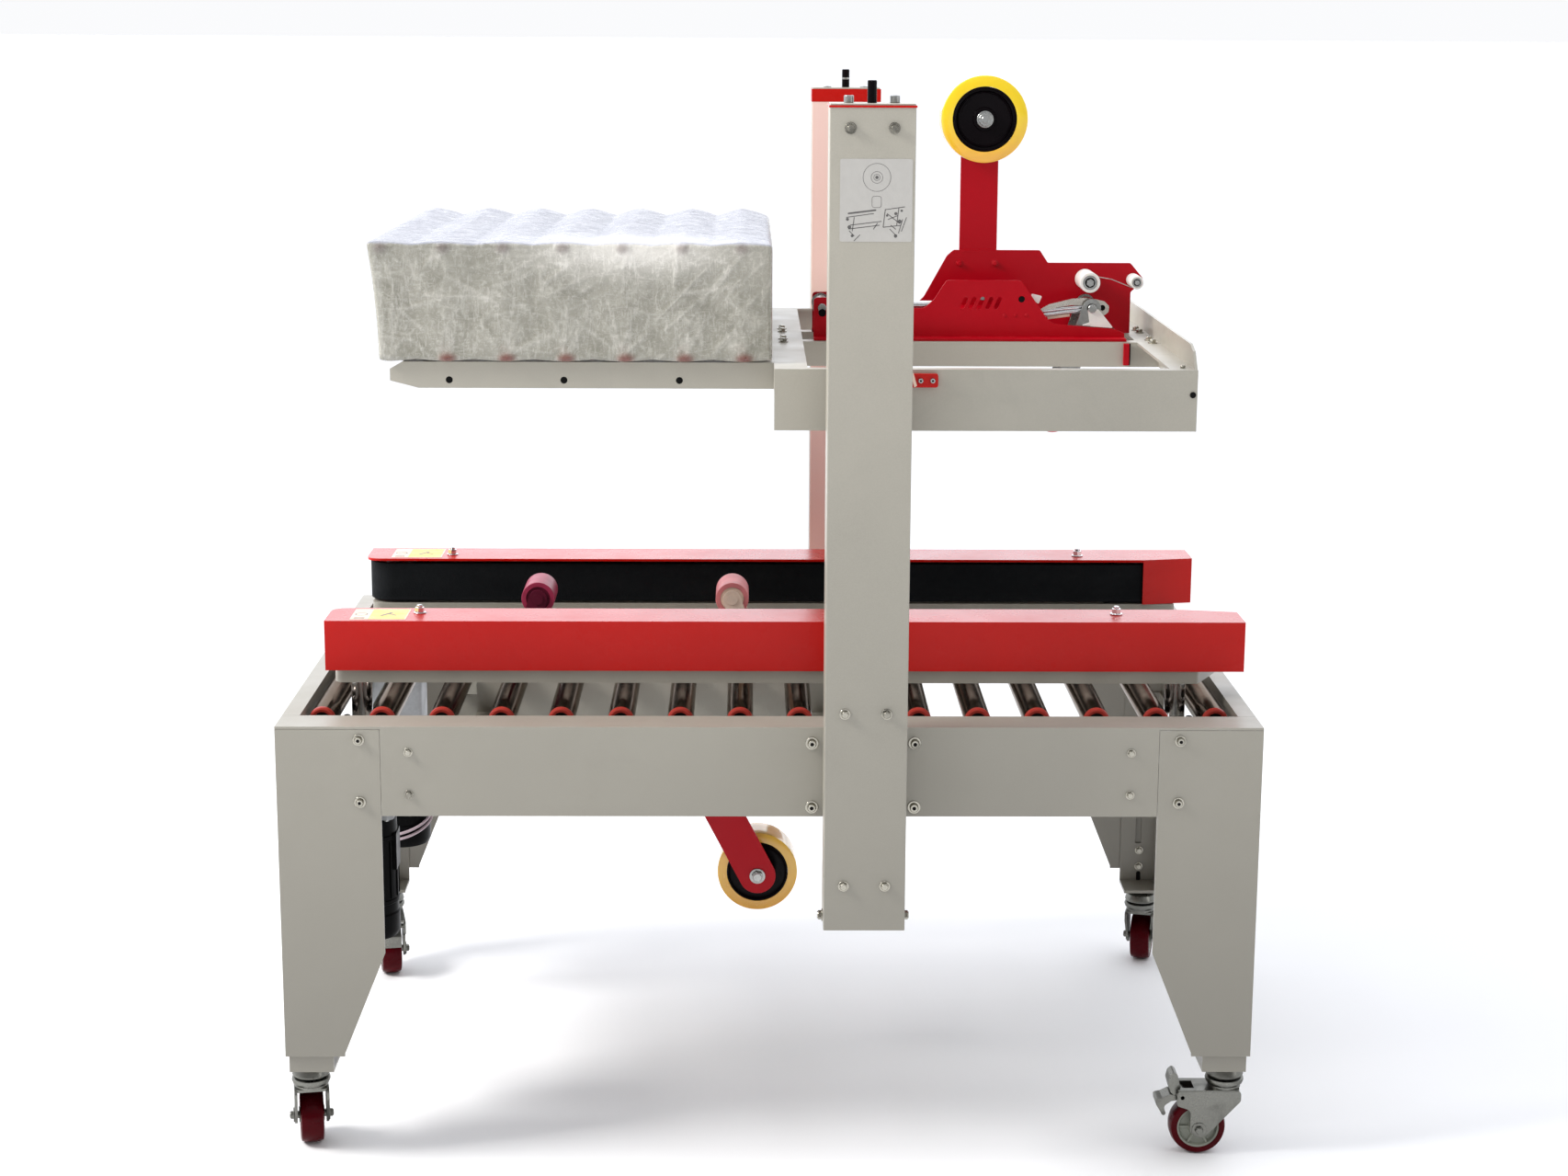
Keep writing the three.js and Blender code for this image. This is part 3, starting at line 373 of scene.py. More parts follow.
# The last attribute, layers, holds a painted glare.
FILM_LAYERS = ("crease", "rust", "knob", "layers")
GREY = (0.430, 0.407, 0.343)
BARE_STEEL = (0.66, 0.65, 0.62)
LOOK = {
    # The grey paint is darkened strongly low down: painted shade with some dust.
    "grey": paint("grey_paint", GREY, BARE_STEEL, 0.36, 0.14, low_dust_and_shade=0.85),
    # The far column's paint, with painted light and a painted red reflection on its near faces.
    "lit_pink": paint("lit_pink_paint", GREY, BARE_STEEL, 0.36, 0.14, low_dust_and_shade=0.08, near_painted_light=(0.98, 0.70, 0.62)),
    "red": paint("red_paint", (0.52, 0.006, 0.003), (0.75, 0.26, 0.20), 0.26, 1.0, 0.30, 0.05, coat_ior=1.25),
    "crimson": paint("crimson_paint", (0.42, 0.0005, 0.008), (0.60, 0.14, 0.15), 0.36, 0.03, 0.4, 0.16),
    "bolt": metal("aged_nickel", (0.42, 0.40, 0.34), 0.22, stain=0.9, dark=0.16),
    "zinc": metal("bright_zinc", (0.42, 0.425, 0.41), 0.27, stain=0.7, dark=0.3),
    "chrome": metal("chrome_rod", (0.72, 0.72, 0.73), 0.12, stain=0.1),
    "nickel": metal("nickel_plate", (0.62, 0.58, 0.52), 0.24, stain=0.15),
    "roller": metal("roller_tube", (0.175, 0.150, 0.130), 0.16, (1, 0.04, 1), 0.5, dark=0.3,
                    rim=(0.52, 0.47, 0.43)),
    "castor": metal("castor_zinc", (0.21, 0.21, 0.19), 0.30, stain=0.8, dark=0.4, rim=(0.7, 0.7, 0.7)),
    "screw": metal("lead_screw_steel", (0.34, 0.33, 0.32), 0.33),
    "cast": metal("gearbox_casting", (0.42, 0.43, 0.44), 0.55, metallic=0.7),
    "motor": polymer("motor_enamel", (0.0022, 0.0022, 0.0024), 0.36, 380.0, 0.25, gloss=0.06),
    "black": polymer("black_plastic", (0.0032, 0.0018, 0.0026), 0.28, 500.0, 0.12, coat=0.02, gloss=0.07),
    "white": polymer("white_nylon", (0.82, 0.78, 0.73), 0.42, sub=0.1, fade=1.08),
    "cap": polymer("red_roller_cap", (0.33, 0.030, 0.020), 0.35, sub=0.05, gloss=0.2),
    "tread": polymer("red_tread", (0.060, 0.0005, 0.003), 0.28, 300.0, 0.12, coat=0.06, sub=0.02, gloss=0.05),
    "hub": polymer("grey_hub", (0.22, 0.23, 0.19), 0.42),
    # A shaded copy of the pink roller rubber: painted shade.
    "shaded_pink": polymer("shaded_pink_rubber", (0.34, 0.030, 0.075), 0.42, 350.0, 0.25, coat=0.1, gloss=0.25),
    "pink": polymer("pink_rubber", (0.66, 0.20, 0.21), 0.48, 350.0, 0.25, sub=0.08),
    # A dark wine core that stands for the shaded hollow of a roller: painted shade.
    "shaded_core": polymer("shaded_wine_core", (0.10, 0.006, 0.022), 0.5, gloss=0.2),
    "cream": polymer("cream_core", (0.80, 0.62, 0.50), 0.5),
    "belt": belt_rubber(),
    "film": stretch_film(),
    "paper": printed("label_paper", (0.53, 0.515, 0.48)),
    "ink": printed("label_ink", (0.11, 0.105, 0.10)),
    "amber": printed("label_yellow", (0.92, 0.60, 0.03), 0.35),
    "cable": polymer("pale_cable", (0.50, 0.40, 0.44), 0.45),
    # Black that stands for shade in holes, bores, slots, sockets and gaps, and for one cast shadow: painted
    # shade.
    "shade_black": polymer("shadow_black", (0.004, 0.004, 0.004), 0.6, gloss=0.1),
}


# ---- outlines ----
def arc(centre, radius, start, sweep, steps):
    """Points about a centre from one angle on through a sweep, both ends included."""
    return [(centre[0] + radius * math.cos(start + sweep * k / steps),
             centre[1] + radius * math.sin(start + sweep * k / steps)) for k in range(steps + 1)]


def circle(centre, radius, sides=24):
    return arc(centre, radius, 0.0, math.tau, sides)[:-1]


def hexagon(centre, radius, turn=0.0):
    return arc(centre, radius, turn, math.tau, 6)[:-1]


def rectangle(u, v):
    return [(u[0], v[0]), (u[1], v[0]), (u[1], v[1]), (u[0], v[1])]


def bar(a, b, width, steps=10):
    """Outline of a flat bar with round ends at two points."""
    heading = math.atan2(b[1] - a[1], b[0] - a[0])
    return (arc(b, width / 2, heading - math.pi / 2, math.pi, steps)
            + arc(a, width / 2, heading + math.pi / 2, math.pi, steps))


def rib(place, angle, inner, outer, half):
    """Outline of a straight rib that stands out from place at an angle."""
    return [(place[0] + math.cos(angle) * a - math.sin(angle) * b,
             place[1] + math.sin(angle) * a + math.cos(angle) * b)
            for a, b in rectangle((inner, outer), (-half, half))]


def around(place, half_u, half_v):
    """The four points at equal distances about a place."""
    return [(place[0] + u, place[1] + v) for u in (-half_u, half_u) for v in (-half_v, half_v)]


def rounded(points, radius, steps=5):
    """An outline whose corners are arcs. radius is one value or one for each corner."""
    count = len(points)
    radii = radius if isinstance(radius, (list, tuple)) else [radius] * count
    made = []
    for i, r in enumerate(radii):
        corner = Vector(points[i])
        back = Vector(points[i - 1]) - corner
        ahead = Vector(points[(i + 1) % count]) - corner
        half = back.angle(ahead) / 2
        reach = min(r / math.tan(half), back.length * 0.48, ahead.length * 0.48)
        if reach < 0.05:
            made.append(tuple(corner))
            continue
        start, end = corner + back.normalized() * reach, corner + ahead.normalized() * reach
        for k in range(steps + 1):
            t = k / steps
            made.append(tuple(start * (1 - t) ** 2 + corner * 2 * t * (1 - t) + end * t ** 2))
    return made


# ---- solids ----
def to_space(axis, u, v, w):
    """Point (u, v) on the plane across an axis, at w along it."""
    return Vector({"x": (w, u, v), "y": (u, w, v), "z": (u, v, w)}[axis])


class Solid:
    """Closed shells, in millimetres, that become one piece. Faces take the look in use when added."""

    def __init__(self, look):
        self.looks = []
        self.points, self.faces, self.marks = [], [], []
        self.use(look)

    def use(self, look):
        if look not in self.looks:
            self.looks.append(look)
        self.look = self.looks.index(look)
        return self

    def add(self, points, faces):
        base = len(self.points)
        self.points += [Vector(p) for p in points]
        self.faces += [tuple(base + i for i in face) for face in faces]
        self.marks += [self.look] * len(faces)
        return self

    def loft(self, rings, closed=False):
        """Joins rings of equal length; the ends are capped unless the loft closes on itself."""
        count, sides = len(rings), len(rings[0])
        faces = []
        for i in range(count if closed else count - 1):
            a, b = i * sides, (i + 1) % count * sides
            faces += [(a + j, a + (j + 1) % sides, b + (j + 1) % sides, b + j) for j in range(sides)]
        if not closed:
            faces += [tuple(range(sides)), tuple(range((count - 1) * sides, count * sides))]
        return self.add([p for ring in rings for p in ring], faces)

    def box(self, x, y, z):
        return self.prism("z", rectangle(sorted(x), sorted(y)), *sorted(z))

    def turned(self, axis, place, profile, sides=40, closed=False):
        """Turns a profile of (radius, position along the axis) about a line through place."""
        return self.loft([[to_space(axis, u, v, along) for u, v in circle(place, radius, sides)]
                          for radius, along in profile], closed)

    def rod(self, axis, radius, a, b, place, sides=40, chamfer=0.6):
        lo, hi = sorted((a, b))
        c = min(chamfer, radius * 0.3, (hi - lo) * 0.3)
        profile = [(radius - c, lo), (radius, lo + c), (radius, hi - c), (radius - c, hi)]
        return self.turned(axis, place, profile, sides)

    def tube(self, axis, outer, inner, a, b, place, sides=40):
        lo, hi = sorted((a, b))
        c = min(0.5, (outer - inner) * 0.25)
        profile = [(inner, lo), (outer - c, lo), (outer, lo + c),
                   (outer, hi - c), (outer - c, hi), (inner, hi)]
        return self.turned(axis, place, profile, sides, closed=True)

    def prism(self, axis, outline, a, b):
        return self.loft([[to_space(axis, u, v, w) for u, v in outline] for w in (a, b)])

    def plate(self, axis, outline, holes, a, b):
        """A flat plate with holes through it."""
        curve = bpy.data.curves.new("outline", "CURVE")
        curve.dimensions = "2D"
        curve.fill_mode = "BOTH"
        curve.extrude = abs(b - a) / 2
        for loop in [outline, *holes]:
            spline = curve.splines.new("POLY")
            spline.points.add(len(loop) - 1)
            for point, (u, v) in zip(spline.points, loop):
                point.co = (u, v, 0, 1)
            spline.use_cyclic_u = True
        helper = bpy.data.objects.new("outline", curve)
        mesh = helper.to_mesh()
        index, points, lookup = {}, [], []
        for vertex in mesh.vertices:
            key = tuple(round(c, 3) for c in vertex.co)
            if key not in index:
                index[key] = len(points)
                points.append(to_space(axis, vertex.co.x, vertex.co.y, vertex.co.z + (a + b) / 2))
            lookup.append(index[key])
        faces = []
        for polygon in mesh.polygons:
            face = tuple(dict.fromkeys(lookup[i] for i in polygon.vertices))
            if len(face) > 2:
                faces.append(face)
        helper.to_mesh_clear()
        bpy.data.objects.remove(helper)
        bpy.data.curves.remove(curve)
        return self.add(points, faces)

    def sweep(self, path, radius, sides=12):
        """A round bar along a path of points."""
        path = [Vector(p) for p in path]
        side = None
        rings = []
        for i, point in enumerate(path):
            ahead = (path[min(i + 1, len(path) - 1)] - path[max(i - 1, 0)]).normalized()
            if side is None:
                side = ahead.orthogonal().normalized()
            side = (side - ahead * side.dot(ahead)).normalized()
            other = ahead.cross(side)
            rings.append([point + side * u + other * v for u, v in circle((0, 0), radius, sides)])
        return self.loft(rings)

    def moved(self, matrix):
        self.points = [matrix @ p for p in self.points]
        return self


def soften(thing, width, angle, harden=False):
    bevel = thing.modifiers.new("edges", "BEVEL")
    bevel.width = width * MM
    bevel.segments = 2
    bevel.limit_method = "ANGLE"
    bevel.angle_limit = math.radians(angle)
    bevel.harden_normals = harden
    bevel.use_clamp_overlap = True


def piece(name, solid, body, edge=0.5, stands_for=(), turn=32):
    """Makes a piece of a solid: outward faces, rounded edges, its looks, its body and what it replaces."""
    mesh = bpy.data.meshes.new(name)
    bm = bmesh.new()
    corners = [bm.verts.new(p * MM) for p in solid.points]
    for face, mark in zip(solid.faces, solid.marks):
        try:
            made = bm.faces.new([corners[i] for i in face])
        except ValueError:
            continue
        made.material_index = mark
        made.smooth = True
    bmesh.ops.recalc_face_normals(bm, faces=bm.faces)
    bm.to_mesh(mesh)
    bm.free()
    mesh.set_sharp_from_angle(angle=math.radians(turn))
    for look in solid.looks:
        mesh.materials.append(LOOK[look] if isinstance(look, str) else look)
    made = add_object(name, mesh)
    if edge:
        soften(made, edge, turn + 8, harden=True)
    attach(made, body)
    if stands_for:
        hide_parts(*stands_for)


# ---- fasteners ----
def hex_bolt(solid, axis, place, face, outward, size=6.0, washer=True, turn=0.3):
    """A hexagon head on a washer. outward is +1 or -1 along the axis."""
    at = face
    if washer:
        solid.rod(axis, size * 1.35, at, at + outward * size * 0.25, place, 28, 0.3)
        at += outward * size * 0.22
    solid.prism(axis, hexagon(place, size, turn), at, at + outward * size * 0.75)
    crown = [(size * 0.84, at + outward * size * 0.7), (size * 0.7, at + outward * size * 0.95)]
    solid.turned(axis, place, crown, 24)


def socket_bolt(solid, axis, place, face, outward, size=5.5, washer=True):
    """A cap screw on a washer, whose hexagon socket is a black hexagon of painted shade."""
    at = face
    metal_look = solid.looks[solid.look]
    if washer:
        solid.rod(axis, size * 1.5, at, at + outward * 1.4, place, 28, 0.3)
        at += outward * 1.3
    head = size * 0.95
    top = at + outward * head
    solid.turned(axis, place, [(size, at), (size, at + outward * head * 0.6), (size * 0.82, top),
                               (size * 0.52, top)], 28)
    # The black hexagon is painted shade for the socket.
    socket = hexagon(place, size * 0.5, 0.2)
    solid.use("shade_black").prism(axis, socket, at + outward * head * 0.4, at + outward * (head + 0.05))
    solid.use(metal_look)


# ---- sheet metal carried over from the frame ----
def dress(node, look, edge=0.9):
    """Gives a CAD node its look and rolled edges, without touching its mesh."""
    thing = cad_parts[node]
    thing.data.materials.clear()
    thing.data.materials.append(LOOK[look])
    weld = thing.modifiers.new("weld", "WELD")
    weld.merge_threshold = 0.00002
    soften(thing, edge, 38)


# Where each castor stands along X, and the heading of its wheel in degrees.
CASTORS = {"front_left": (-523, 101), "front_right": (523, 180), "rear_left": (-517, 281),
           "rear_right": (517, 76)}

make_camera()
make_light()
make_floor()
bpy.context.scene.view_settings.view_transform = "Standard"

# The far column's near faces carry painted light in a pink tone.
dress("rear_column", "lit_pink")
for node in ("front_side_beam", "rear_side_beam", "outfeed_end_frame", "infeed_end_frame", "head_well",
             "front_column", "carriage_frame", *(f"{corner}_inner_leg" for corner in CASTORS)):
    dress(node, "grey")
for node in ("front_belt_cover", "rear_belt_cover"):
    dress(node, "red", 1.4)

NEAR, FAR = -1, 1
SIDES = (("front", NEAR), ("rear", FAR))
beam_low, beam_high = span("front_side_beam")
TABLE_FACE = -beam_low.y
TABLE_TOP = beam_high.z


# ---- conveyor rollers ----
ROLLER_END = 265


def conveyor_roller(node):
    """A steel tube with a moulded cap, a black disc of painted shade in the cap's bore and a hexagon axle at
    each end.
    """
    low, high = span(node)
    place = ((low.x + high.x) / 2, (low.z + high.z) / 2)
    radius = (high.z - low.z) / 2
    y0, y1 = max(low.y + 8, -ROLLER_END), min(high.y - 8, ROLLER_END)
    cap = 7
    solid = Solid("roller")
    solid.tube("y", radius, radius - 1.4, y0 + cap, y1 - cap, place, 48)
    for end, into in ((y0, 1), (y1, -1)):
        shell = [(9.4, 4), (9.8, 0.8), (12.6, 0.2), (14.4, 1.2), (radius, 3), (radius, cap + 0.4),
                 (9.4, cap + 0.4)]
        solid.use("cap").turned("y", place, [(r, end + into * depth) for r, depth in shell], 40, closed=True)
        # The black disc in the cap's bore is painted shade.
        solid.use("shade_black").rod("y", 9.6, end + into * 3.4, end + into * 6, place, 28, 0.2)
        pin = low.y + 0.5 if into > 0 else high.y - 0.5
        solid.use("bolt").prism("y", hexagon(place, 4, 0), pin, end + into * 6)
    piece(f"{node}_tube", solid, node, 0.25, [node])


for node in sorted(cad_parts):
    if "roller_" in node and node[-2:].isdigit():
        conveyor_roller(node)


# ---- castors ----
WHEEL_RADIUS = 32.5
CASTOR_TRAIL = 30
CASTOR_Y = 314
FORK_INSIDE = 16.5
BRAKED = ("front_right", "rear_left")


def castor_place(corner):
    leg_low = span(f"{corner}_inner_leg")[0]
    side = 1 if leg_low.y > 0 else -1
    x, heading = CASTORS[corner]
    turn = Matrix.Rotation(math.radians(heading - 180), 4, "Z")
    return Matrix.Translation((x, side * CASTOR_Y, 0)) @ turn, leg_low.z


def castor_fork(corner, matrix, leg_bottom):
    solid = Solid("castor")
    stem = [(0.2, 100), (8.5, 100), (8.5, leg_bottom - 0.3), (0.2, leg_bottom - 0.3)]
    race = [(6, 105), (15, 104.8), (18.5, 103), (20.6, 99), (21.4, 95.5), (20.4, 93.6), (6, 93.6)]
    crown = [(6, 92), (19, 92), (21.6, 90.6), (22, 88.4), (20.8, 85), (18.4, 82.5), (18.6, 79.5), (6, 79.5)]
    solid.turned("z", (0, 0), stem, 24)
    solid.turned("z", (0, 0), race, 56, True)
    # A black ring between the race and the crown is painted shade in the gap.
    solid.use("shade_black").rod("z", 18.6, 91, 94, (0, 0), 40)
    solid.use("castor").turned("z", (0, 0), crown, 56, True)
    centre = (-CASTOR_TRAIL, WHEEL_RADIUS)
    tail = -56 if corner in BRAKED else -49
    cheek = rounded([(17, 79), (tail, 79), (tail, 61), (-40, 56), (-40.5, 30), (-30, 20.5), (-19.5, 27),
                     (17, 67)], [5, 5, 5, 8, 9, 10, 10, 6], 7)
    for side in (NEAR, FAR):
        inner, outer = side * FORK_INSIDE, side * (FORK_INSIDE + 3)
        solid.plate("y", cheek, [], inner, outer)
        solid.rod("y", 8.5, outer, outer + side * 1.4, centre, 32, 0.4)
        hex_bolt(solid, "y", centre, outer + side * 0.8, side, 4.9, False, 0.2)
        solid.rod("y", 2.6, outer + side * 3.5, outer + side * 5.6, centre, 18, 0.5)
    hole = [[(-36, -11), (-36, 11), (-54, 11), (-54, -11)]] if corner in BRAKED else []
    top = rounded([(16, -FORK_INSIDE - 2.5), (16, FORK_INSIDE + 2.5), (tail + 1, FORK_INSIDE + 2.5),
                   (tail + 1, -FORK_INSIDE - 2.5)], [8, 8, 3, 3])
    solid.plate("z", top, hole, 77, 80)
    solid.rod("y", 4.4, -FORK_INSIDE - 1, FORK_INSIDE + 1, centre, 24)
    if corner in BRAKED:
        solid.rod("y", 3, -FORK_INSIDE - 3, FORK_INSIDE + 3, (-50, 71), 20)
    if corner == "rear_left":
        brake_pressing(solid)
    node = f"{corner}_castor_fork"
    piece(f"{corner}_castor_housing", solid.moved(matrix), node, 0.6, [node])


def mirrored(half):
    """A profile that repeats itself on the other side of the middle."""
    return half + [(radius, -along) for radius, along in reversed(half)]


def castor_wheel(corner, matrix):
    place = (-CASTOR_TRAIL, WHEEL_RADIUS)
    solid = Solid("tread")
    solid.turned("y", place, mirrored([(24, -13), (27.5, -13.4), (30.6, -12.2), (WHEEL_RADIUS - 0.8, -8.5),
                                       (WHEEL_RADIUS, -3.5)]), 72, True)
    solid.use("hub").turned("y", place, mirrored([(4.9, -14.5), (9, -14.5), (10, -11), (11.5, -8), (20.5, -8),
                                                  (22, -12), (24.6, -12.6)]), 64, True)
    for k in range(6):
        for side in (NEAR, FAR):
            solid.prism("y", rib(place, math.tau * k / 6, 10, 21.5, 1.3), side * 7.5, side * 10.6)
    node = f"{corner}_castor_wheel"
    piece(f"{corner}_castor_tyre", solid.moved(matrix), node, 0.5, [node])


def brake_pressing(solid):
    """A lever with an upright release tab and a curved toe."""
    solid.tube("y", 6, 3.3, -12, 12, (-50, 71), 28)
    tab = [(-46, 75), (-51, 78), (-55, 95), (-59, 99), (-64, 95), (-66, 86), (-63, 75), (-56, 68)]
    toe = [(-52, 70), (-63, 72.5), (-72, 68), (-79.5, 66.5), (-79, 60), (-72, 48.5), (-68, 49.5), (-70, 58),
           (-62, 64), (-50, 66)]
    solid.prism("y", rounded(tab, [2, 2, 5, 5, 5, 8, 4, 2], 6), -11.5, 11.5)
    solid.prism("y", rounded(toe, [2, 4, 4, 2.5, 5, 2, 2, 5, 4, 2], 6), -12, 12)
    solid.tube("y", 2.6, 1.2, -12, 12, (-70.2, 49.6), 20)


def brake_pedal(matrix):
    solid = Solid("castor")
    brake_pressing(solid)
    node = "front_right_brake_pedal"
    piece("brake_pedal_pressing", solid.moved(matrix), node, 0.7, [node])


for corner in CASTORS:
    matrix, leg_bottom = castor_place(corner)
    castor_fork(corner, matrix, leg_bottom)
    castor_wheel(corner, matrix)
    if corner == "front_right":
        brake_pedal(matrix)


# ---- table fasteners, guide bars and leg bolts ----
def table_bolts():
    for name, side in SIDES:
        solid = Solid("bolt")
        face = side * TABLE_FACE
        for end in (-1, 1):
            for z in (497, 426):
                socket_bolt(solid, "y", (end * 453, z), face, side, 4.4)
            for z in (483, 435):
                hex_bolt(solid, "y", (end * 399, z), face, side, 3.9, True, 0.2)
        for x in (46, 159.5):
            for z in (494, 421):
                socket_bolt(solid, "y", (x, z), face, side, 4.9)
        piece(f"{name}_table_bolts", solid, "frame", 0.25)


GUIDE_BARS_X, GUIDE_BARS_Z = (-472, 472), 457
LEG_CLAMP_X = 517


def guide_bars():
    """The bars that the belt units slide on, clamped between the side beams."""
    solid = Solid("chrome")
    reach = TABLE_FACE - 3.5
    for x in GUIDE_BARS_X:
        solid.use("chrome").rod("y", 8, -reach, reach, (x, GUIDE_BARS_Z), 36)
        for side in (NEAR, FAR):
            solid.use("zinc").tube("y", 14, 8.1, side * (reach - 12), side * reach, (x, GUIDE_BARS_Z), 28)
    piece("belt_guide_bars", solid, "frame", 0.3)


def leg_clamps():
    """Nuts inside each leg that hold the inner leg at its height."""
    for corner in CASTORS:
        low = span(f"{corner}_inner_leg")[0]
        side = FAR if low.y > 0 else NEAR
        x = math.copysign(LEG_CLAMP_X, low.x)
        inside = side * (TABLE_FACE - 6.6)
        solid = Solid("bolt")
        for z in (155, 132):
            hex_bolt(solid, "y", (x, z), inside, -side, 4.4, True, 0.5)
            if side == FAR:
                socket_bolt(solid, "y", (x, z), side * TABLE_FACE, side, 4.4)
        # The black slot below the nuts is painted shade.
        slot = bar((x, 114), (x, 122), 6, 6)
        solid.use("shade_black").plate("y", slot, [], inside - side * 0.1, inside - side * 0.5)
        piece(f"{corner}_leg_clamp", solid, "frame", 0.25)


table_bolts()
guide_bars()
leg_clamps()


# ---- columns ----
COLUMN_HALF = 44.5


def column_fittings(name, side):
    low, high = span(f"{name}_column")
    face = high.y if side > 0 else low.y
    middle_x, middle_y = (low.x + high.x) / 2, side * (abs(face) - 30.5)
    top = high.z
    bolts = Solid("bolt")
    for z in (top - 23, 544, 351):
        for x in (middle_x - 23, middle_x + 22):
            hex_bolt(bolts, "y", (x, z), face, side, 4.6, turn=0.2 + 0.013 * (x + z))
    for end in (-1, 1):
        hex_bolt(bolts, "x", (middle_y, 308), middle_x + end * COLUMN_HALF, end, 5.2)
    head = {"front": 9.5, "rear": 3.2}[name]
    for x in (middle_x - 24, middle_x + 24):
        place = (x, middle_y - side * 4)
        bolts.use("zinc").rod("z", 5.2, top + 1.6, top + head, place, 32, 0.7)
        # The black hexagon in each head's socket is painted shade.
        bolts.use("shade_black").prism("z", hexagon(place, 2.6), top + head - 1.2, top + head + 0.05)
    piece(f"{name}_column_bolts", bolts, "frame", 0.25)
    cap = Solid("grey")
    outline = rounded(rectangle((middle_x - 44, middle_x + 44), (middle_y - 30, middle_y + 30)), 1.5)
    cap.plate("z", outline, [circle((middle_x, middle_y), 6.4)], top + 0.2, top + 1.8)
    piece(f"{name}_column_cap", cap, "frame", 0.5)
    column_band(name, side, middle_x, face, top)


def column_band(name, side, middle_x, face, top):
    """The red lid whose rim closes the column: deep on the far column, a thin line on the near one."""
    band = Solid("red")
    depth = {"front": 2.2, "rear": 16.5}[name]
    x0, x1 = middle_x - COLUMN_HALF - 0.9, middle_x + COLUMN_HALF + 0.9
    y0, y1 = side * (TABLE_FACE + 5), face + side * 0.8
    hole = rectangle((x0 + 0.8, x1 - 0.8), (y0 + side * 0.6, y1 - side * 0.7))
    band.plate("z", rectangle((x0, x1), (y0, y1)), [hole], top - depth, top + 0.1)
    piece(f"{name}_column_band", band, "frame", 0.25)


def lead_screw(name, side):
    """A threaded spindle with a plain black head that stands out of the column."""
    low, high = span(f"{name}_lead_screw")
    place = ((low.x + high.x) / 2, (low.y + high.y) / 2)
    pitch, crest, root, sides = 5, 7.9, 6.4, 20
    neck = high.z - 36
    outer, inner = circle(place, crest, sides), circle(place, root, sides)
    rings = []
    for i in range(int((neck - low.z - 4) / pitch) * 4):
        level = low.z + 2 + i * pitch / 4
        rings.append([(*(outer if (i / 4 + k / sides) % 1 < 0.5 else inner)[k], level)
                      for k in range(sides)])
    solid = Solid("screw").loft(rings)
    solid.rod("z", 4.8, neck - 4, high.z - 27, place, 28)
    solid.use("black").rod("z", 4.9, high.z - 28, high.z, place, 28, 0.8)
    if side == FAR:
        solid.use("zinc").tube("z", 5.0, 4.6, high.z - 13, high.z - 10.5, place, 28)
    piece(f"{name}_lead_spindle", solid, f"{name}_lead_screw", 0, [f"{name}_lead_screw"])


def instruction_sticker():
    """A faint paper sticker with a line drawing: a tape roll above a table with arms and legs."""
    face = span("front_column")[0].y
    paper = Solid("paper")
    paper.prism("y", rounded(rectangle((69, 144), (1049, 1134)), 2.5), face - 0.05, face - 0.35)
    piece("column_sticker", paper, "frame", 0)
    ink = Solid("ink")
    depth = (face - 0.36, face - 0.46)

    def stroke(a, b, width=0.8):
        ink.prism("y", bar(a, b, width, 3), *depth)

    roll = (107, 1115)
    for radius in (14.5, 6.2, 3.4):
        ink.plate("y", circle(roll, radius, 40), [circle(roll, radius - 0.4, 40)], *depth)
    ink.prism("y", circle(roll, 1.7), *depth)
    ink.plate("y", rounded(rectangle((102, 112), (1084, 1096)), 3),
              [rounded(rectangle((102.4, 111.6), (1084.4, 1095.6)), 2.6)], *depth)
    stroke((78, 1078), (106, 1081.5), 1.7)
    for x0, z0, x1, z1 in (
            (84, 50, 90, 56), (133, 60, 138, 74), (119, 72, 129, 76), (118, 78, 131, 68), (134, 72, 130, 58),
            (76, 74, 104, 78), (80, 66, 112, 70), (78, 62, 110, 66), (84, 74, 82, 60), (116, 82, 114, 64),
            (130, 84, 128, 66), (116, 82, 136, 85), (114, 64, 132, 66), (79, 60, 84, 55), (121, 62, 127, 56),
            (127, 62, 122, 66), (104, 62, 108, 68)):
        stroke((x0, 1000 + z0), (x1, 1000 + z1))
    for x, z, r in ((77, 72, 1.6), (79, 64, 1.9), (82, 55, 1.5), (127, 78, 1.6), (131, 70, 2.0),
                    (127, 55, 1.8), (133, 81, 1.3), (118, 76, 1.2)):
        ink.prism("y", circle((x, 1000 + z), r, 14), *depth)
    piece("column_sticker_drawing", ink, "frame", 0)


for name, side in SIDES:
    column_fittings(name, side)
    lead_screw(name, side)
instruction_sticker()


# ---- belt units ----
BELT_LOOP_RADIUS = 31.5
BED_BOTTOM, PULLEY_TOP, SLIDE_TOP = 529, 595, 474
GEARBOX_BOTTOM, MOTOR_BOTTOM = 366, 216


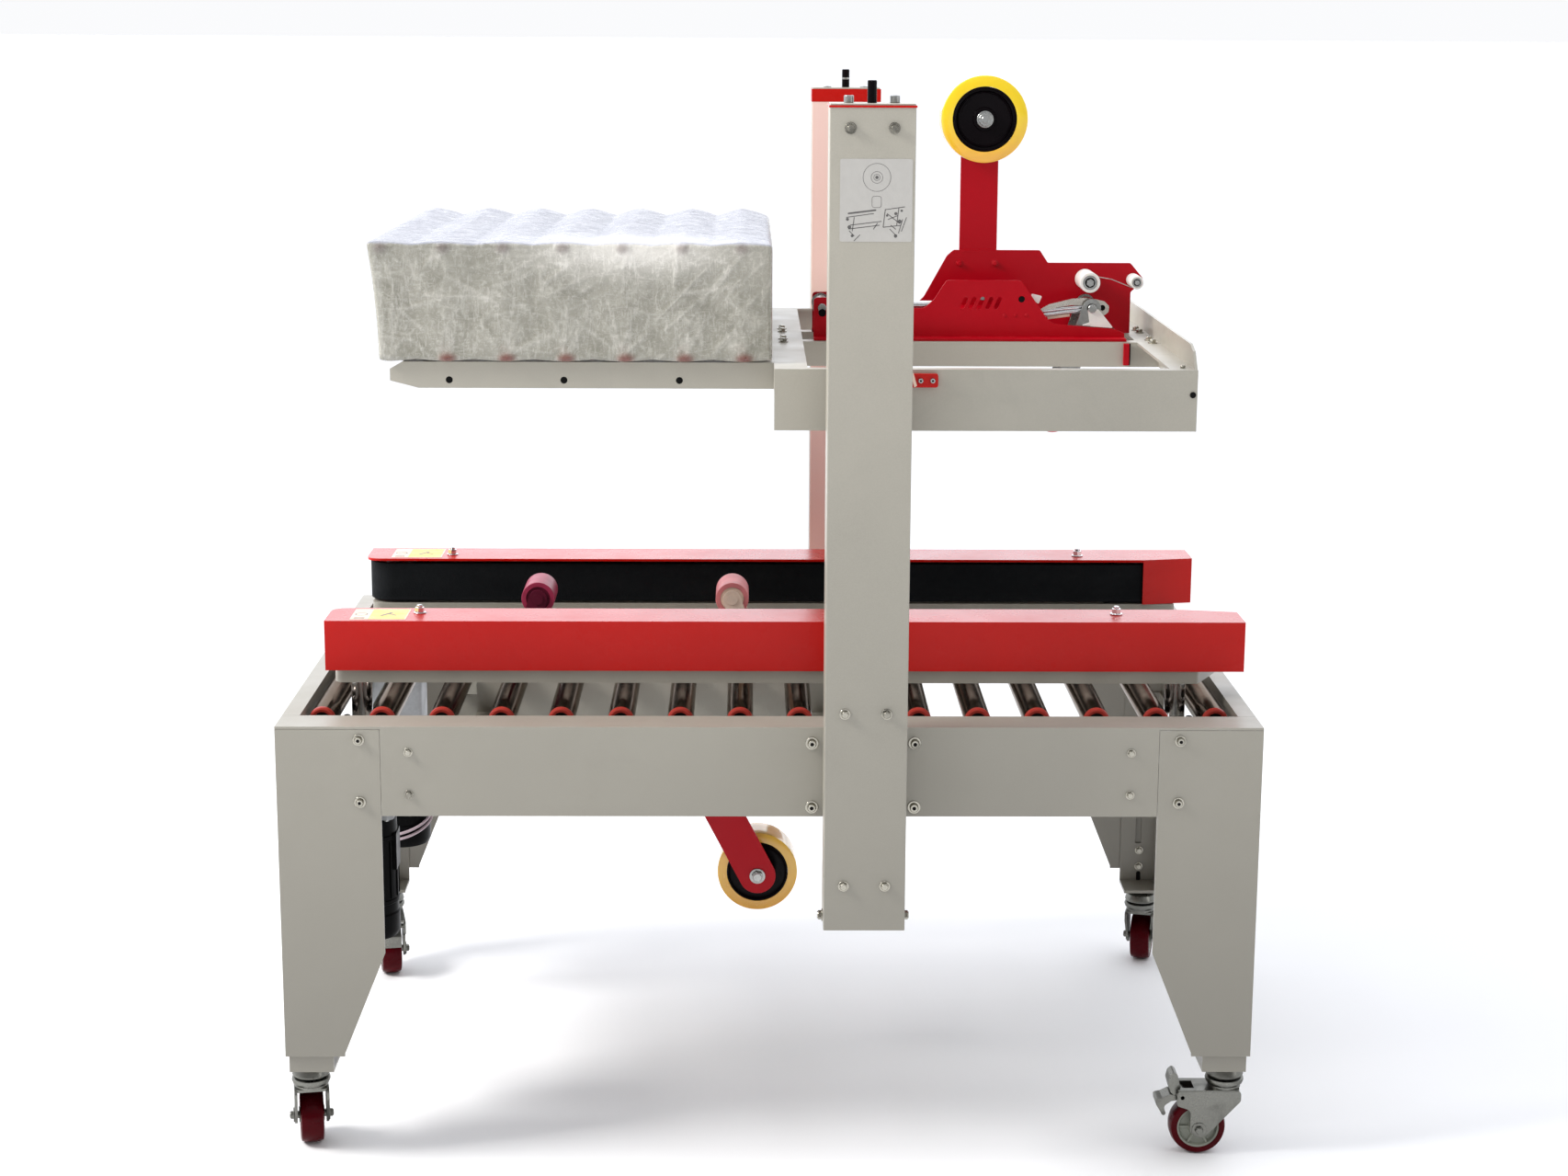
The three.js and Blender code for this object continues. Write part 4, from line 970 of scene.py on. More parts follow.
def belt_unit(name, side):
    body = f"{name}_belt_unit"
    low, high = span(f"{name}_belt_cover")
    centre = (low.y + high.y) / 2
    belt_low, belt_high = span(f"{name}_drive_belt")
    drive_x, idler_x = belt_low.x + BELT_LOOP_RADIUS, belt_high.x - BELT_LOOP_RADIUS
    base_top = low.z
    inward, outward = centre - side * 31, centre + side * 31
    x0 = drive_x - 28
    bed = Solid("grey")
    outline = rounded([(x0, inward), (525, inward), (493, outward), (x0, outward)], [14, 4, 4, 14])
    bed.plate("z", outline, [], BED_BOTTOM, base_top - 0.4)
    bed.box((drive_x + 44, idler_x - 44), (centre - 22, centre + 22), (base_top - 1, PULLEY_TOP - 1))
    piece(f"{name}_belt_bed", bed, body, 0.9, [f"{name}_belt_chassis"])
    pulleys = Solid("cast")
    radius = BELT_LOOP_RADIUS - 5
    profile = [(5, base_top + 2), (radius, base_top + 2), (radius, PULLEY_TOP), (radius - 4, PULLEY_TOP),
               (radius - 5, PULLEY_TOP - 3), (12, PULLEY_TOP - 3), (10, PULLEY_TOP + 1), (5, PULLEY_TOP + 1)]
    for x in (drive_x, idler_x):
        pulleys.turned("z", (x, centre), profile, 48, True)
    piece(f"{name}_belt_pulleys", pulleys, body, 0.3)
    guides = Solid("chrome")
    for x in GUIDE_BARS_X:
        guides.use("chrome").rod("z", 12, SLIDE_TOP - 1, BED_BOTTOM + 1, (x, centre), 36)
        block = rounded(rectangle((x - 30, x + 30), (SLIDE_TOP - 34, SLIDE_TOP)), 3)
        guides.use("black").plate("y", block, [circle((x, GUIDE_BARS_Z), 8.9)], centre - 30, centre + 30)
        guides.use("zinc")
        for place in around((x, centre), 21, 20):
            socket_bolt(guides, "z", place, SLIDE_TOP, 1, 4, False)
    piece(f"{name}_slide_blocks", guides, body, 0.5)
    drive_motor(name, body, drive_x, centre)
    drive_belt(name, body, drive_x, idler_x, centre)
    cover_details(name, side, body, low, high)


def drive_motor(name, body, x, y):
    """A gearbox and a finned motor that hang under the belt bed, with the motor's two leads."""
    motor = Solid("cast")
    for half, corner, low, high in ((33, 8, GEARBOX_BOTTOM + 6, 440.5),
                                    (36, 9, GEARBOX_BOTTOM, GEARBOX_BOTTOM + 8)):
        square = rectangle((x - half, x + half), (y - half, y + half))
        motor.plate("z", rounded(square, corner), [], low, high)
    motor.use("zinc")
    for place in around((x, y), 27, 27):
        socket_bolt(motor, "z", place, GEARBOX_BOTTOM, -1, 3.6, False)
    motor.use("motor")
    bottom = MOTOR_BOTTOM
    profile = [(30, GEARBOX_BOTTOM), (35, GEARBOX_BOTTOM - 2)]
    for level in (340, 262):
        profile += [(35.6, level + 3), (36.8, level + 2), (36.8, level - 2), (35.6, level - 3)]
    profile += [(35.6, bottom + 32), (37, bottom + 30), (37, bottom + 9), (34, bottom + 2), (26, bottom)]
    motor.turned("z", (x, y), profile, 56)
    for k in range(16):
        motor.prism("z", rib((x, y), math.tau * (k + 0.5) / 16, 34, 36.9, 1), 266, 335)
    motor.box((x + 22, x + 36.5), (y - 16, y + 16), (300, 344))
    # The ring of black discs on the motor's end is painted shade in its holes.
    for place in circle((x, y), 22, 10):
        motor.use("shade_black").rod("z", 3, bottom - 0.4, bottom + 1, place, 14, 0.1)
    piece(f"{name}_drive_motor", motor, body, 0.5)
    cables = Solid("cable")
    start, lift = {"front": (0.1, 300), "rear": (-1.0, 222)}[name]
    for shift in (0, 7):
        path = []
        for k in range(30):
            t = k / 29
            angle = math.pi * (start + 1.15 * t)
            out = 39.4 - 6 * max(0, 1 - min(t, 1 - t) / 0.08)
            path.append((x + out * math.cos(angle), y + out * math.sin(angle),
                         lift + shift + 8 * t + 34 * t ** 2.2))
        cables.sweep(path, 1.8, 10)
    piece(f"{name}_motor_leads", cables, body, 0)


def drive_belt(name, body, x0, x1, y):
    """A flat endless belt with rounded edges."""
    low, high = span(f"{name}_drive_belt")
    thickness, steps = 4, 28
    z0, z1 = low.z, high.z
    section = [(0, z0), (0, z1), (thickness * 0.35, z1), (thickness, z1 - 1.2), (thickness, z0 + 1.2),
               (thickness * 0.35, z0)]
    rings = []
    for x, start in ((x1, -math.pi / 2), (x0, math.pi / 2)):
        paths = [[(*p, z) for p in arc((x, y), BELT_LOOP_RADIUS - thickness + d, start, math.pi, steps)]
                 for d, z in section]
        rings += zip(*paths)
    solid = Solid("belt").loft(rings, closed=True)
    piece(f"{name}_belt_band", solid, body, 0.4, [f"{name}_drive_belt"], 50)


def cover_details(name, side, body, low, high):
    bolts = Solid("chrome")
    middle = (low.y + high.y) / 2
    for x in {"front": (-404, 402), "rear": (-404, 399)}[name]:
        place = (x, middle - 8 * side)
        bolts.rod("z", 7.4, high.z, high.z + 1.6, place, 28)
        bolts.prism("z", hexagon(place, 5.8, 0.4), high.z + 1.6, high.z + 7)
        bolts.rod("z", 3.4, high.z + 6.5, high.z + 10, place, 20, 0.8)
    for x in (-250, 250):
        socket_bolt(bolts, "y", (x, 560), middle - side * 22, -side, 3.4, False)
    piece(f"{name}_cover_bolts", bolts, body, 0.3)
    label = Solid("cream")
    x0, x1 = -480, -416
    y0, y1 = low.y + 7, high.y - 7
    divide = x0 + 20
    sheet = high.z + 0.25
    ink = sheet + 0.12
    label.plate("z", rounded(rectangle((x0, x1), (y0, y1)), 2), [], high.z + 0.05, sheet)
    field = rounded(rectangle((divide + 1, x1 - 2), (y0 + 2, y1 - 2)), 1)
    label.use("amber").plate("z", field, [], sheet, ink)
    label.use("ink")
    label.plate("z", circle((x0 + 10, middle), 7.5), [circle((x0 + 10, middle), 6)], sheet, ink)
    for a, b, width in (((14, -8), (24, 8), 3.4), ((22, 2), (30, -6), 2.6)):
        stroke = bar((divide + a[0], middle + a[1]), (divide + b[0], middle + b[1]), width, 5)
        label.plate("z", stroke, [], ink, ink + 0.08)
    for k in range(3):
        label.box((x0 + 4, divide - 4), (y0 + 4 + 3 * k, y0 + 5 + 3 * k), (sheet, ink))
    piece(f"{name}_cover_label", label, body, 0)


for name, side in SIDES:
    belt_unit(name, side)


# ---- tape heads ----
ARM_PIVOT = (160, 66)
ARM_TIP_X = 117.5
NEAR_PLATE = [(-170, 29.3), (199, 29.3), (199, 37), (186, 42), (111, 48), (75, 99), (-13, 99), (-27, 77),
              (-39, 66), (-140, 66), (-148, 78), (-170, 78)]
NEAR_ROUNDS = [1, 1, 3, 6, 18, 5, 5, 10, 8, 6, 4, 5]
FAR_PLATE = [(-170, 29.3), (215, 29.3), (215, 79), (231, 94), (214, 114), (114, 114), (104, 129), (0, 129),
             (-8, 122), (-35, 73), (-42, 66), (-140, 66), (-148, 78), (-170, 78)]
FAR_ROUNDS = [1, 1, 3, 5, 4, 3, 3, 5, 8, 12, 6, 6, 4, 5]
PLATE_INSIDE, PLATE_OUTSIDE = 34, 37


def head_plates(done, level, base, hub):
    """The two side plates, the arm that carries the reel, and the rivets."""
    frame_plates = Solid("crimson")
    near_holes = [circle((76, 77), 4), *(bar((x, 67.5), (x + 4, 77), 5.2, 6) for x in range(6, 56, 10))]
    frame_plates.plate("y", rounded(NEAR_PLATE, NEAR_ROUNDS), near_holes, -PLATE_OUTSIDE, -PLATE_INSIDE)
    frame_plates.plate("y", rounded(FAR_PLATE, FAR_ROUNDS), [], PLATE_INSIDE, PLATE_OUTSIDE)
    for side in (NEAR, FAR):
        frame_plates.box((-170, 199), (side * PLATE_INSIDE, side * 57), (29.3, 32.3))
    frame_plates.box((-4, 36), (-PLATE_INSIDE, PLATE_INSIDE), (60, 63))
    done("head_plates", frame_plates, stands_for=[f"{level}_head_frame"])

    arm = Solid("crimson")
    arm.plate("y", bar(base, hub, 45, 16), [], PLATE_OUTSIDE + 0.1, PLATE_OUTSIDE + 4)
    done("reel_arm", arm)

    rivets = Solid("crimson")
    for x, z in ((50, 113), (7, 113)):
        hex_bolt(rivets, "y", (x, z), PLATE_INSIDE, NEAR, 3.2, True)
    for x in (56, 69, 82):
        rivets.rod("y", 1.9, -PLATE_OUTSIDE - 0.9, -PLATE_OUTSIDE, (x, 58), 18, 0.4)
    # The black disc in the near plate's hole is painted shade.
    rivets.use("shade_black").rod("y", 3.9, -PLATE_OUTSIDE + 0.4, -PLATE_INSIDE, (76.5, 76.5), 24, 0.3)
    done("rivets", rivets, edge=0.2)


def head_fittings(done, hub):
    """The shafts across the head, the reel's spindle, and the rods that lead the tape."""
    fittings = Solid("zinc")
    fittings.rod("y", 5, -PLATE_INSIDE, PLATE_INSIDE, (30, 80), 28)
    for end in (-1, 1):
        fittings.rod("y", 5, -PLATE_OUTSIDE - 3, PLATE_OUTSIDE + 3, (end * ARM_PIVOT[0], ARM_PIVOT[1]), 28)
    fittings.rod("y", 7.8, PLATE_OUTSIDE + 6, -32, hub, 32)
    hex_bolt(fittings, "y", hub, PLATE_OUTSIDE + 4, FAR, 7.2, True)
    fittings.tube("y", 9.8, 7.9, -29, -24, hub, 36)
    fittings.rod("y", 4.6, -32, -34.5, hub, 24)
    done("head_fittings", fittings, slot="zinc", edge=0.3)

    rods = Solid("chrome")
    for path in ([(102, -24, 62), (128, -24, 65), (153, -24, 67)],
                 [(102, -24, 57), (128, -24, 60.5), (151, -24, 63)]):
        rods.sweep(path, 2.3)
    rods.sweep([(64, -14, 56), (102, -18, 59.5)], 3.2)
    rods.rod("x", 5.5, -128, -22, (-24, 68), 28)
    rods.rod("x", 4.2, -138, -60, (12, 60), 28)
    rods.use("cream").sweep([(109, -22, 53.5), (135, -22, 57)], 1.9)
    done("head_rods", rods, slot="bright_steel", edge=0)


def head_linkage(done):
    """A nickel arch over the tape's path, with its pivot and white pads."""
    arch = Solid("nickel")
    arch_shape = rounded([(98, 63), (110, 70), (123, 73), (137, 76.5), (152, 77.5), (165, 76.2), (176, 73.5),
                          (181.5, 68), (181, 61), (176, 57), (169, 58.5), (165, 63.5), (154, 68.5), (137, 69),
                          (121, 66.5), (100, 60)], 3)
    arch.plate("y", arch_shape, [circle((173.5, 66), 3.4)], -26, -23)
    # The black disc in the arch's pivot hole is painted shade.
    arch.use("shade_black").rod("y", 3.3, -25, -22, (173.5, 66), 24, 0.2)
    arch.use("nickel").rod("y", 3.4, -29, -25, (160, 67), 24, 0.6)
    arch.use("white").plate("y", rounded([(155, 66), (168, 65), (186, 43), (158, 45)], 1.5), [], -36, -34)
    arch.plate("y", rounded([(150, 47), (158, 50), (160, 45.5), (149, 46)], 1), [], -36, -34)
    arch.prism("y", rounded([(89, 82), (102, 79), (98, 69.5), (91, 75)], 1.5), -21, -18.5)
    arch.use("bolt").box((148, 188), (-30, -10), (40, 42.3))
    done("head_linkage", arch, slot="zinc", edge=0.4)


def guide_rollers(done):
    """The rollers that turn the tape, and the strand between them."""
    rollers = Solid("white")
    for place, radius, end in (((159, 95), 12, -20), ((217, 94), 8, -5)):
        # The innermost ring, in the shade-black look, is painted shade in each roller's bore.
        for k, (look, outer, inner, recess, sides) in enumerate((
                ("white", 1, 0.72, 0, 48), ("zinc", 0.72, 0.5, 0.5, 36), ("shade_black", 0.5, 0.38, 1.4, 30))):
            rollers.use(look).tube("y", radius * outer, radius * inner, end + recess, PLATE_INSIDE - 1 - k,
                                   place, sides)
        rollers.use("zinc").prism("y", hexagon(place, radius * 0.4, 0.4), end - 1.2, end + 5)
        rollers.rod("y", radius * 0.3, end + 2, PLATE_INSIDE, place, 24)
    rollers.use("white").rod("y", 4.2, -PLATE_OUTSIDE - 8, -PLATE_OUTSIDE, (-160, 61), 28)
    rollers.use("black").rod("y", 4.6, -PLATE_OUTSIDE - 11, -PLATE_OUTSIDE - 7.6, (-160, 61), 28)
    done("guide_rollers", rollers, slot="roller_rubber", edge=0.3)

    strand = Solid("film")
    strand.sweep([(170, -8, 101), (186, -6, 98), (211, -2, 88)], 0.5, 6)
    done("tape_strand", strand, slot="tape", edge=0)


def cutter(done):
    """A toothed blade between two posts."""
    knife = Solid("zinc")
    for y in (-27, 25):
        knife.prism("y", rounded(rectangle((-1.5, 2.4), (4, 62)), 0.8), y, y + 2)
    teeth = [(2.4, -25)]
    for k in range(17):
        teeth += [(0.2, -25 + 3 * k + 0.4), (-2.4, -25 + 3 * k + 1.5)]
    teeth += [(0.2, 26), (2.4, 26)]
    knife.prism("z", teeth, 8, 9.4)
    done("cutter", knife, slot="zinc", edge=0)


def swing_arms(done, level, drop, roller_look):
    """The two arms whose rollers press the tape onto the box."""
    for end, name in ((1, "infeed"), (-1, "outfeed")):
        pivot = (end * ARM_PIVOT[0], ARM_PIVOT[1])
        tip = (end * ARM_TIP_X, -drop)
        # On the lower head's outfeed arm the dark wine roller, core and links are painted shade, shaded
        # copies of the pink roller and cream core.
        core = "cream" if roller_look == "pink" or end > 0 else "shaded_core"
        links = Solid("zinc" if level == "upper" else core)
        for side in (NEAR, FAR):
            links.plate("y", bar(pivot, tip, 22, 12), [circle(pivot, 5.7)], side * 30, side * 33)
            links.rod("y", 6, side * 31, side * 33.6, tip, 24, 0.5)
        links.tube("y", 9, 5.7, -30, 30, pivot, 32)
        links.rod("y", 5, -32, 32, tip, 24)
        links.use("pink" if end > 0 else roller_look).tube("y", 20, 14.5, -29.5, 29.5, tip, 64)
        links.use(core).tube("y", 14.4, 5.2, -28.8, 28.8, tip, 48)
        for side in (NEAR, FAR):
            links.rod("y", 6.6, side * 34, side * 34.4, tip, 24, 0.2)
        arm_node = f"{level}_{name}_arm"
        done(f"{name}_arm_parts", links, arm_node, "roller_rubber", 0.4, [arm_node])


# The shaded and the lit tone of each roll of tape, painted low and high on the roll, and the rolls' radii.
TAPE_SHADED_AND_LIT_TONES = {"upper": ((0.98, 0.45, 0.025), (0.96, 0.68, 0.012)),
              "lower": ((0.72, 0.33, 0.018), (0.86, 0.50, 0.06))}
ROLL_RADIUS = {"upper": 50.8, "lower": 49.5}
CORE_RADIUS, ROLL_HALF_WIDTH = 37.8, 24


def reel(level, matrix, hub):
    """A roll of tape on its black core."""
    centre = matrix @ Vector((hub[0], 0, hub[1]))
    rim = ROLL_RADIUS[level]
    solid = Solid(tape_film(f"{level}_wound_tape", centre, *TAPE_SHADED_AND_LIT_TONES[level]))
    half = ROLL_HALF_WIDTH
    roll = [(CORE_RADIUS, -half), (rim - 2, -half), (rim - 0.3, 1 - half), (rim, -20), (rim - 0.05, -8),
            (rim, 6), (rim, 20), (rim - 0.3, half - 1), (rim - 2, half), (CORE_RADIUS, half)]
    solid.turned("y", hub, roll, 96, True)
    core = [(8.8, -21), (13, -21), (14, -18), (30, -18.6), (31.5, -20.6), (33, -18.6), (35.4, -19.6),
            (36, -23.2), (37.6, -23.4), (37.6, 23.4), (36, 23.2), (35.4, 19.6), (33, 18.6), (30, 18.6),
            (14, 18), (13, 21), (8.8, 21)]
    solid.use("black").turned("y", hub, core, 72, True)
    for start, reach, radius in ((0.15, 0.9, 29.5), (-1.2, 0.5, 27), (2.2, 0.7, 28)):
        solid.sweep([(x, -18.4, z) for x, z in arc(hub, radius, start, reach, 12)], 0.9, 8)
    node = f"{level}_tape_reel"
    piece(f"{level}_tape_roll", solid.moved(matrix), node, 0.3, [node])


def tape_head(level, matrix, body, base, hub, drop, roller_look):
    """One tape head, drawn upright with its box side down. base and hub are the ends of the reel's arm."""

    def done(name, solid, rides=body, slot="head_red", edge=0.5, stands_for=()):
        piece(f"{level}_{name}", solid.moved(matrix), rides, edge, stands_for)

    head_plates(done, level, base, hub)
    head_fittings(done, hub)
    head_linkage(done)
    guide_rollers(done)
    cutter(done)
    swing_arms(done, level, drop, roller_look)
    reel(level, matrix, hub)


rail_high = span("carriage_frame")[1]
UPPER_PLACE = Matrix.Translation((222, 0, 876))
LOWER_PLACE = Matrix.Translation((-161.5, 0, TABLE_TOP)) @ Matrix.Rotation(math.pi, 4, "X")
tape_head("upper", UPPER_PLACE, "carriage", (29.5, 60), (29.5, 286), 63, "pink")
tape_head("lower", LOWER_PLACE, "frame", (60.4, 100), (149, 270.5), 76, "shaded_pink")


# ---- carriage ----
CARRIAGE_FACE, LUG_FACE = -325, -331


def carriage_fittings():
    bolts = Solid("bolt")
    top = rail_high.z - 24
    for x in (16, 450):
        for y in (-70, 70, -40, 40):
            hex_bolt(bolts, "z", (x, y), top, 1, 4.2)
    hex_bolt(bolts, "z", (448, -306), top, 1, 3.2, False)
    # The black disc on the carriage face is painted shade.
    bolts.use("shade_black").rod("y", 3.4, CARRIAGE_FACE, CARRIAGE_FACE - 1.4, (457, 878), 24)
    bolts.use("zinc")
    for x in (161, 174):
        socket_bolt(bolts, "y", (x, 893.5), LUG_FACE, NEAR, 3.0, False)
    piece("carriage_bolts", bolts, "carriage", 0.3)
    lug = Solid("red")
    lug.prism("y", rounded(rectangle((148, 180), (886, 901)), 3), LUG_FACE, CARRIAGE_FACE - 0.2)
    tab = rounded([(150, 902), (153, 902), (157, 888), (154, 886)], 1)
    lug.use("cream").prism("y", tab, LUG_FACE - 1.2, LUG_FACE)
    piece("carriage_red_lug", lug, "carriage", 0.6)
    post = Solid("crimson")
    post.box((416.5, 423), (-69, -63), (878.5, 904))
    # The thin black sheet beside the post is its painted shadow.
    post.use("shade_black").box((423.1, 424.6), (-68, -64), (878.5, 904))
    piece("carriage_stop_post", post, "carriage", 0.4)


carriage_fittings()


# ---- wrapped roller tables ----
BUNDLE_PITCH = 65.0
BUNDLE_HALF_WIDTH, BUNDLE_ROLLER_HALF, BUNDLE_CAP_END = 272, 262, 274.5
bundle_low, bundle_high = span("wrapped_roller_tables")
BUNDLE_ROLLERS = [bundle_high.x - 35 - BUNDLE_PITCH * k for k in range(7)]


def bundle_tables():
    """Two small roller tables, back to back: side beams, rollers and their caps."""
    solid = Solid("grey")
    x0, x1 = bundle_low.x + 12, bundle_high.x - 6
    z0, z1 = bundle_low.z + 7, bundle_high.z - 12
    for side in (NEAR, FAR):
        y = side * BUNDLE_HALF_WIDTH
        solid.box((x0, x1), (y, y - side * 3), (z0, z1))
        for z in (z0, z1):
            solid.box((x0, x1), (y, y - side * 28), (z - 1.5, z + 1.5))
    for x in (x0, x1):
        solid.box((x - 1.5, x + 1.5), (-270, 270), (z0 + 4, z1 - 4))
    for x in BUNDLE_ROLLERS:
        levels = [(z1 - 2, "hub")] + [(z0 + 6, "cap")] * (x > x0 + 20)
        for z, cap in levels:
            solid.use("roller").rod("y", 11, -BUNDLE_ROLLER_HALF, BUNDLE_ROLLER_HALF, (x, z), 28)
            for side in (NEAR, FAR):
                solid.use(cap).rod("y", 6, side * BUNDLE_ROLLER_HALF, side * BUNDLE_CAP_END, (x, z), 24, 1.5)
    piece("bundle_tables", solid, "carriage", 0.8)


RAIL_HOLE_Z = 885


def rail_hole_shade():
    """Black discs of painted shade in the holes of the outfeed rails."""
    hole_shade = Solid("shade_black")
    for x in (-354, -228, -101):
        for side in (NEAR, FAR):
            hole_shade.rod("y", 4.6, side * 266, side * 269.4, (x, RAIL_HOLE_Z), 24, 0.4)
    piece("rail_hole_shade", hole_shade, "carriage", 0.2)


class Crease:
    """A fold in the film: a line on one face with a rounded ridge and a height that fades at its ends."""

    def __init__(self, start, heading, length, width, height):
        self.start, self.length = np.array(start, float), length
        self.along = np.array((math.cos(heading), math.sin(heading)))
        self.width, self.height = width, height

    def at(self, points):
        offset = points - self.start
        along = offset @ self.along
        across = offset @ np.array((-self.along[1], self.along[0]))
        fade = np.clip(along / 8, 0, 1) * np.clip((self.length - along) / (0.5 * self.length), 0, 1)
        return self.height * fade * np.exp(-(across / self.width) ** 2)


def face_creases(rng, face, u0, u1, v0, v1):
    """Folds of one face, in its own (u, v) plane: fans from the roller ends, and long random pulls."""
    made = []

    def fold(u, v, heading, length, width, height):
        """A crease whose place and sizes are drawn from ranges. heading is its direction in degrees."""
        made.append(Crease((rng.uniform(*u), rng.uniform(*v)), math.radians(heading()), rng.uniform(*length),
                           rng.uniform(*width), rng.uniform(*height)))

    if face in ("near", "far"):
        for x in BUNDLE_ROLLERS:
            about = (x - 8, x + 8)
            for _ in range(12):
                fold(about, (v0 + 3, v0 + 14), lambda: 90 + rng.gauss(0, 22), (28, 85), (1.3, 2.6),
                     (0.25, 0.8))
            for _ in range(5):
                fold(about, (v1 - 4, v1 - 14), lambda: rng.gauss(0, 30) - 90, (15, 45), (1.3, 2.4),
                     (0.2, 0.6))
        for _ in range(24):
            fold((u1 - 140, u1 - 30), (v0 + 5, v1 - 45), lambda: rng.uniform(36, 56), (35, 95), (1.2, 2.2),
                 (0.35, 1.0))
    for _ in range({"top": 190, "bottom": 20, "near": 90, "far": 90, "end": 70}[face]):
        slant = rng.choice((8, 172, 20, 160, 35, 145, 80, 100))
        fold((u0, u1), (v0, v1), lambda: slant + rng.gauss(0, 9), (22, 110), (1.2, 2.8), (0.2, 0.8))
    return made


def film_face(rng, face, axis, level, u_span, v_span, step, outward):
    """One face of the film box as a grid: points and the strength of its creases."""
    us = np.linspace(*u_span, max(2, round((u_span[1] - u_span[0]) / step)) + 1)
    vs = np.linspace(*v_span, max(2, round((v_span[1] - v_span[0]) / step)) + 1)
    grid_u, grid_v = np.meshgrid(us, vs, indexing="ij")
    flat = np.stack([grid_u.ravel(), grid_v.ravel()], axis=1)
    strength = np.zeros(len(flat))
    for crease in face_creases(rng, face, *u_span, *v_span):
        strength = np.maximum(strength, crease.at(flat))
    border = np.minimum.reduce([flat[:, 0] - u_span[0], u_span[1] - flat[:, 0], flat[:, 1] - v_span[0],
                                v_span[1] - flat[:, 1]])
    lift = strength * np.clip(border / 5, 0, 1)
    points = [to_space(axis, u, v, level + outward * up) for (u, v), up in zip(flat, lift)]
    rows = len(vs)
    faces = [(i * rows + j, (i + 1) * rows + j, (i + 1) * rows + j + 1, i * rows + j + 1)
             for i in range(len(us) - 1) for j in range(rows - 1)]
    return points, faces, strength


def clamp(value, low=0.0, high=1.0):
    return min(high, max(low, value))


def film_spots(p, low, high):
    """What shows at a point: rust and knobs where roller ends press, and a painted highlight, a milky glare
    near the top of the near face.
    """
    # Painted highlight: a milky glare near the top of the near face, kept in the layers attribute.
    glare = math.hypot((p.x + 150) / 95, (p.z - high.z + 8) / 26)
    layers = math.exp(-glare ** 2) * (1 if p.y < 0 else 0.3) * clamp((-p.y - 120) / 120)
    if abs(p.y) < high.y - 14:
        return 0.0, 0.0, layers
    rust = min(math.hypot((p.x - x - 3) / 9.5, (p.z - low.z - 4.5) / 6.0) for x in BUNDLE_ROLLERS[:6])
    knob = min(math.hypot((p.x - x) / 7.5, (p.z - high.z + 7) / 6.0) for x in BUNDLE_ROLLERS)
    return math.exp(-rust ** 4), math.exp(-knob ** 4), layers


def film_shape(p, low, high):
    """Moves a point of the flat film box to where stretched film lies over the rollers."""
    round_edge = 4.5
    inner = Vector(clamp(c, lo + round_edge, hi - round_edge) for c, lo, hi in zip(p, low, high))
    away = p - inner
    reach = max(abs(away.x), abs(away.y), abs(away.z))
    q = inner + away.normalized() * reach if reach > 1e-6 else p.copy()
    nearest = min(abs(p.x - x) for x in BUNDLE_ROLLERS)
    sag = min(1.0, nearest / (BUNDLE_PITCH / 2)) ** 1.3
    rise = (p.z - low.z) / (high.z - low.z)
    middle = math.sin(math.pi * clamp(rise))
    over = max(0.0, (rise - 0.8) / 0.2)
    under = max(0.0, (0.12 - rise) / 0.12)
    far = 0.5 + 0.5 * p.y / high.y
    q.z += -(2.5 + 6.0 * far) * sag * over + 2.5 * sag * under
    side = abs(p.y) / high.y
    if side > 0.93:
        q.y -= math.copysign(3.0 * middle * (0.4 + 0.6 * sag), p.y)
    left = max(0.0, 1 - (p.x - low.x) / 60)
    q.x += (6.5 - 11.0 * rise) * left
    if p.x < low.x + 10:
        q.x += 2.0 * middle
    return q


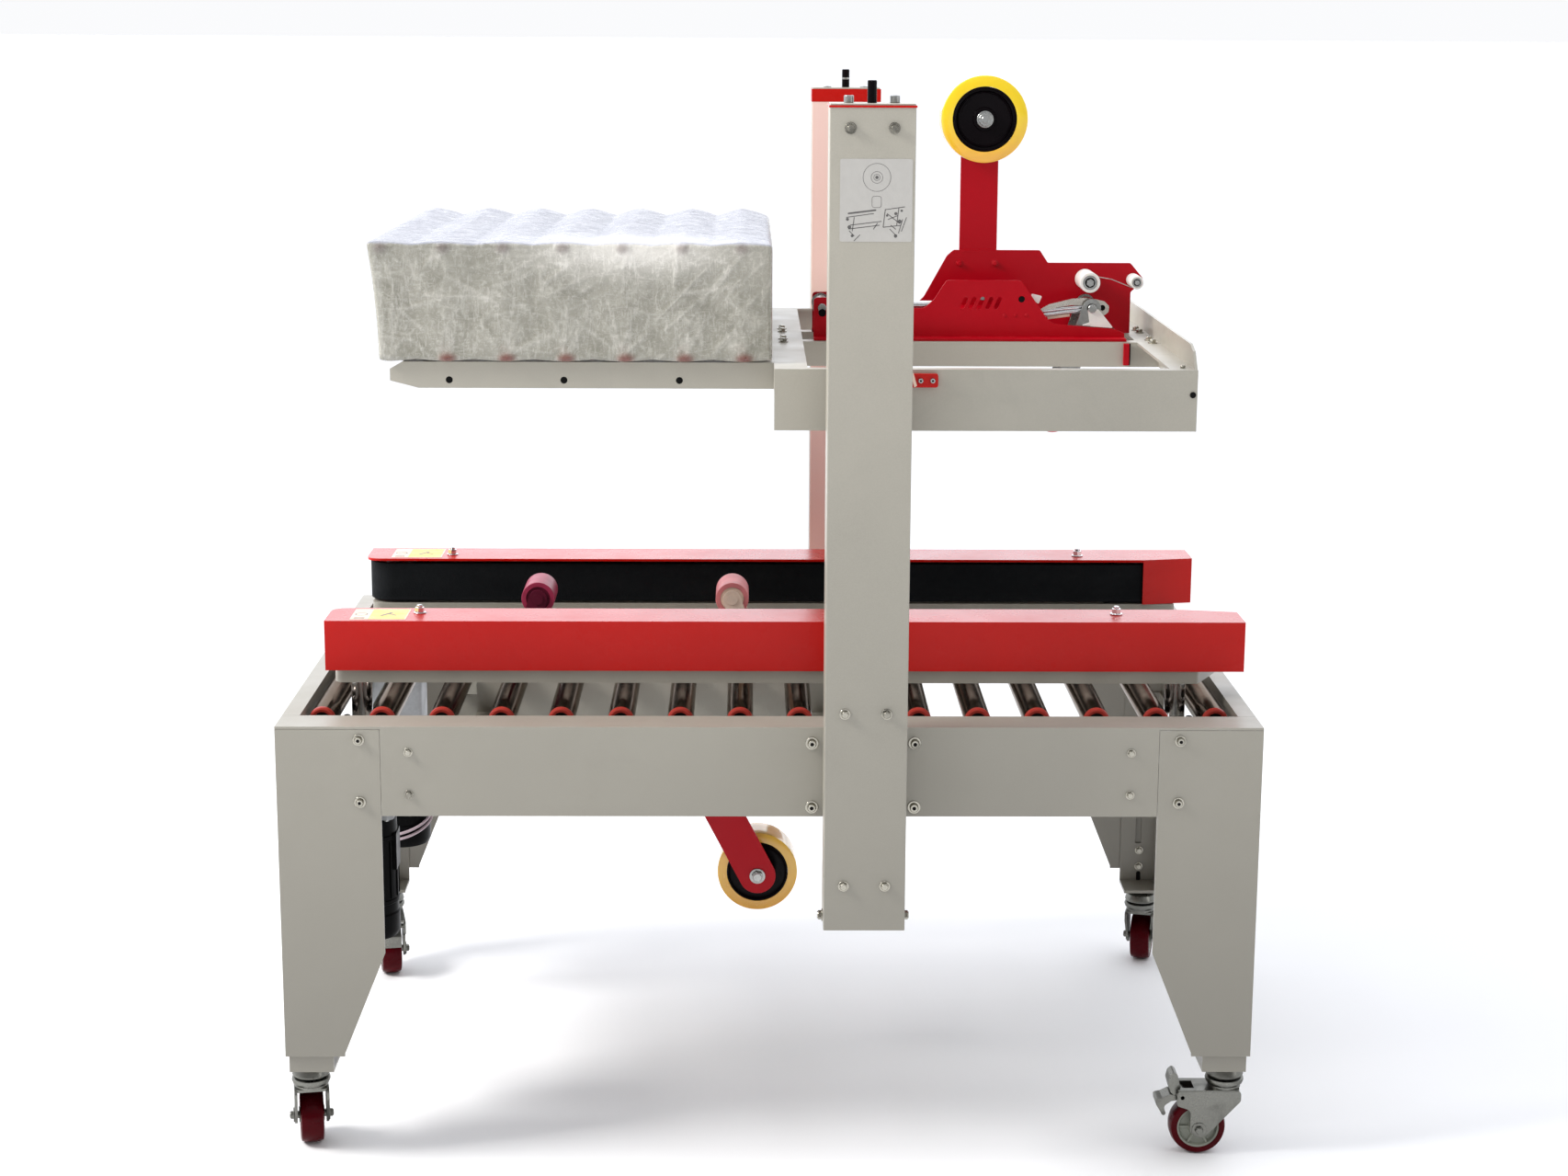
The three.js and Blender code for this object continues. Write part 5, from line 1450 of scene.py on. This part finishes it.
FILM_WELD = 0.6


def film_piece(name, panels, low, top_limit):
    """One piece of film, welded from the panels that film_face made."""
    bm = bmesh.new()
    layers = [bm.verts.layers.float.new(layer) for layer in FILM_LAYERS]
    for points, faces, strength in panels:
        corners = []
        for p, s in zip(points, strength):
            rust, knob, painted_glare = film_spots(p, low, top_limit)
            q = film_shape(p, low, top_limit)
            if rust or knob:
                q.y += math.copysign(1.6 * max(rust, knob), p.y)
                q.z -= 1.2 * rust if p.z > low.z + 3 else 0.0
            vertex = bm.verts.new(q * MM)
            for layer, value in zip(layers, (min(1.0, float(s)), rust, knob, painted_glare)):
                vertex[layer] = value
            corners.append(vertex)
        for face in faces:
            bm.faces.new([corners[i] for i in face]).smooth = True
    bmesh.ops.remove_doubles(bm, verts=bm.verts, dist=FILM_WELD * MM)
    bmesh.ops.recalc_face_normals(bm, faces=bm.faces)
    mesh = bpy.data.meshes.new(name)
    bm.to_mesh(mesh)
    bm.free()
    mesh.materials.append(LOOK["film"])
    film = add_object(name, mesh)
    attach(film, "carriage")
    return film


def film_skin():
    """The film over the bundle's top and sides, and the part of it that is folded in underneath."""
    rng = random.Random(11)
    low, high = bundle_low, bundle_high
    x_span, y_span, z_span = (low.x, high.x - 1.5), (low.y, high.y), (low.z + 0.4, high.z)
    top_limit = Vector((x_span[1], high.y, high.z))
    sides = [
        ("near", "y", low.y, x_span, z_span, 2.2, NEAR), ("far", "y", high.y, x_span, z_span, 2.6, FAR),
        ("top", "z", high.z, x_span, y_span, 2.8, 1)]
    under = ("bottom", "z", z_span[0], x_span, y_span, 7.0, 0)
    ends = [("end", "x", low.x, y_span, z_span, 3.0, -1), ("end", "x", x_span[1], y_span, z_span, 4.0, 0)]
    panels = [film_face(rng, *part) for part in sides + [under] + ends]
    skin = film_piece("bundle_film", panels[:3] + panels[4:], low, top_limit)
    fold = film_piece("bundle_film_underside", panels[3:4], low, top_limit)
    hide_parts("wrapped_roller_tables")


bundle_tables()
rail_hole_shade()
film_skin()
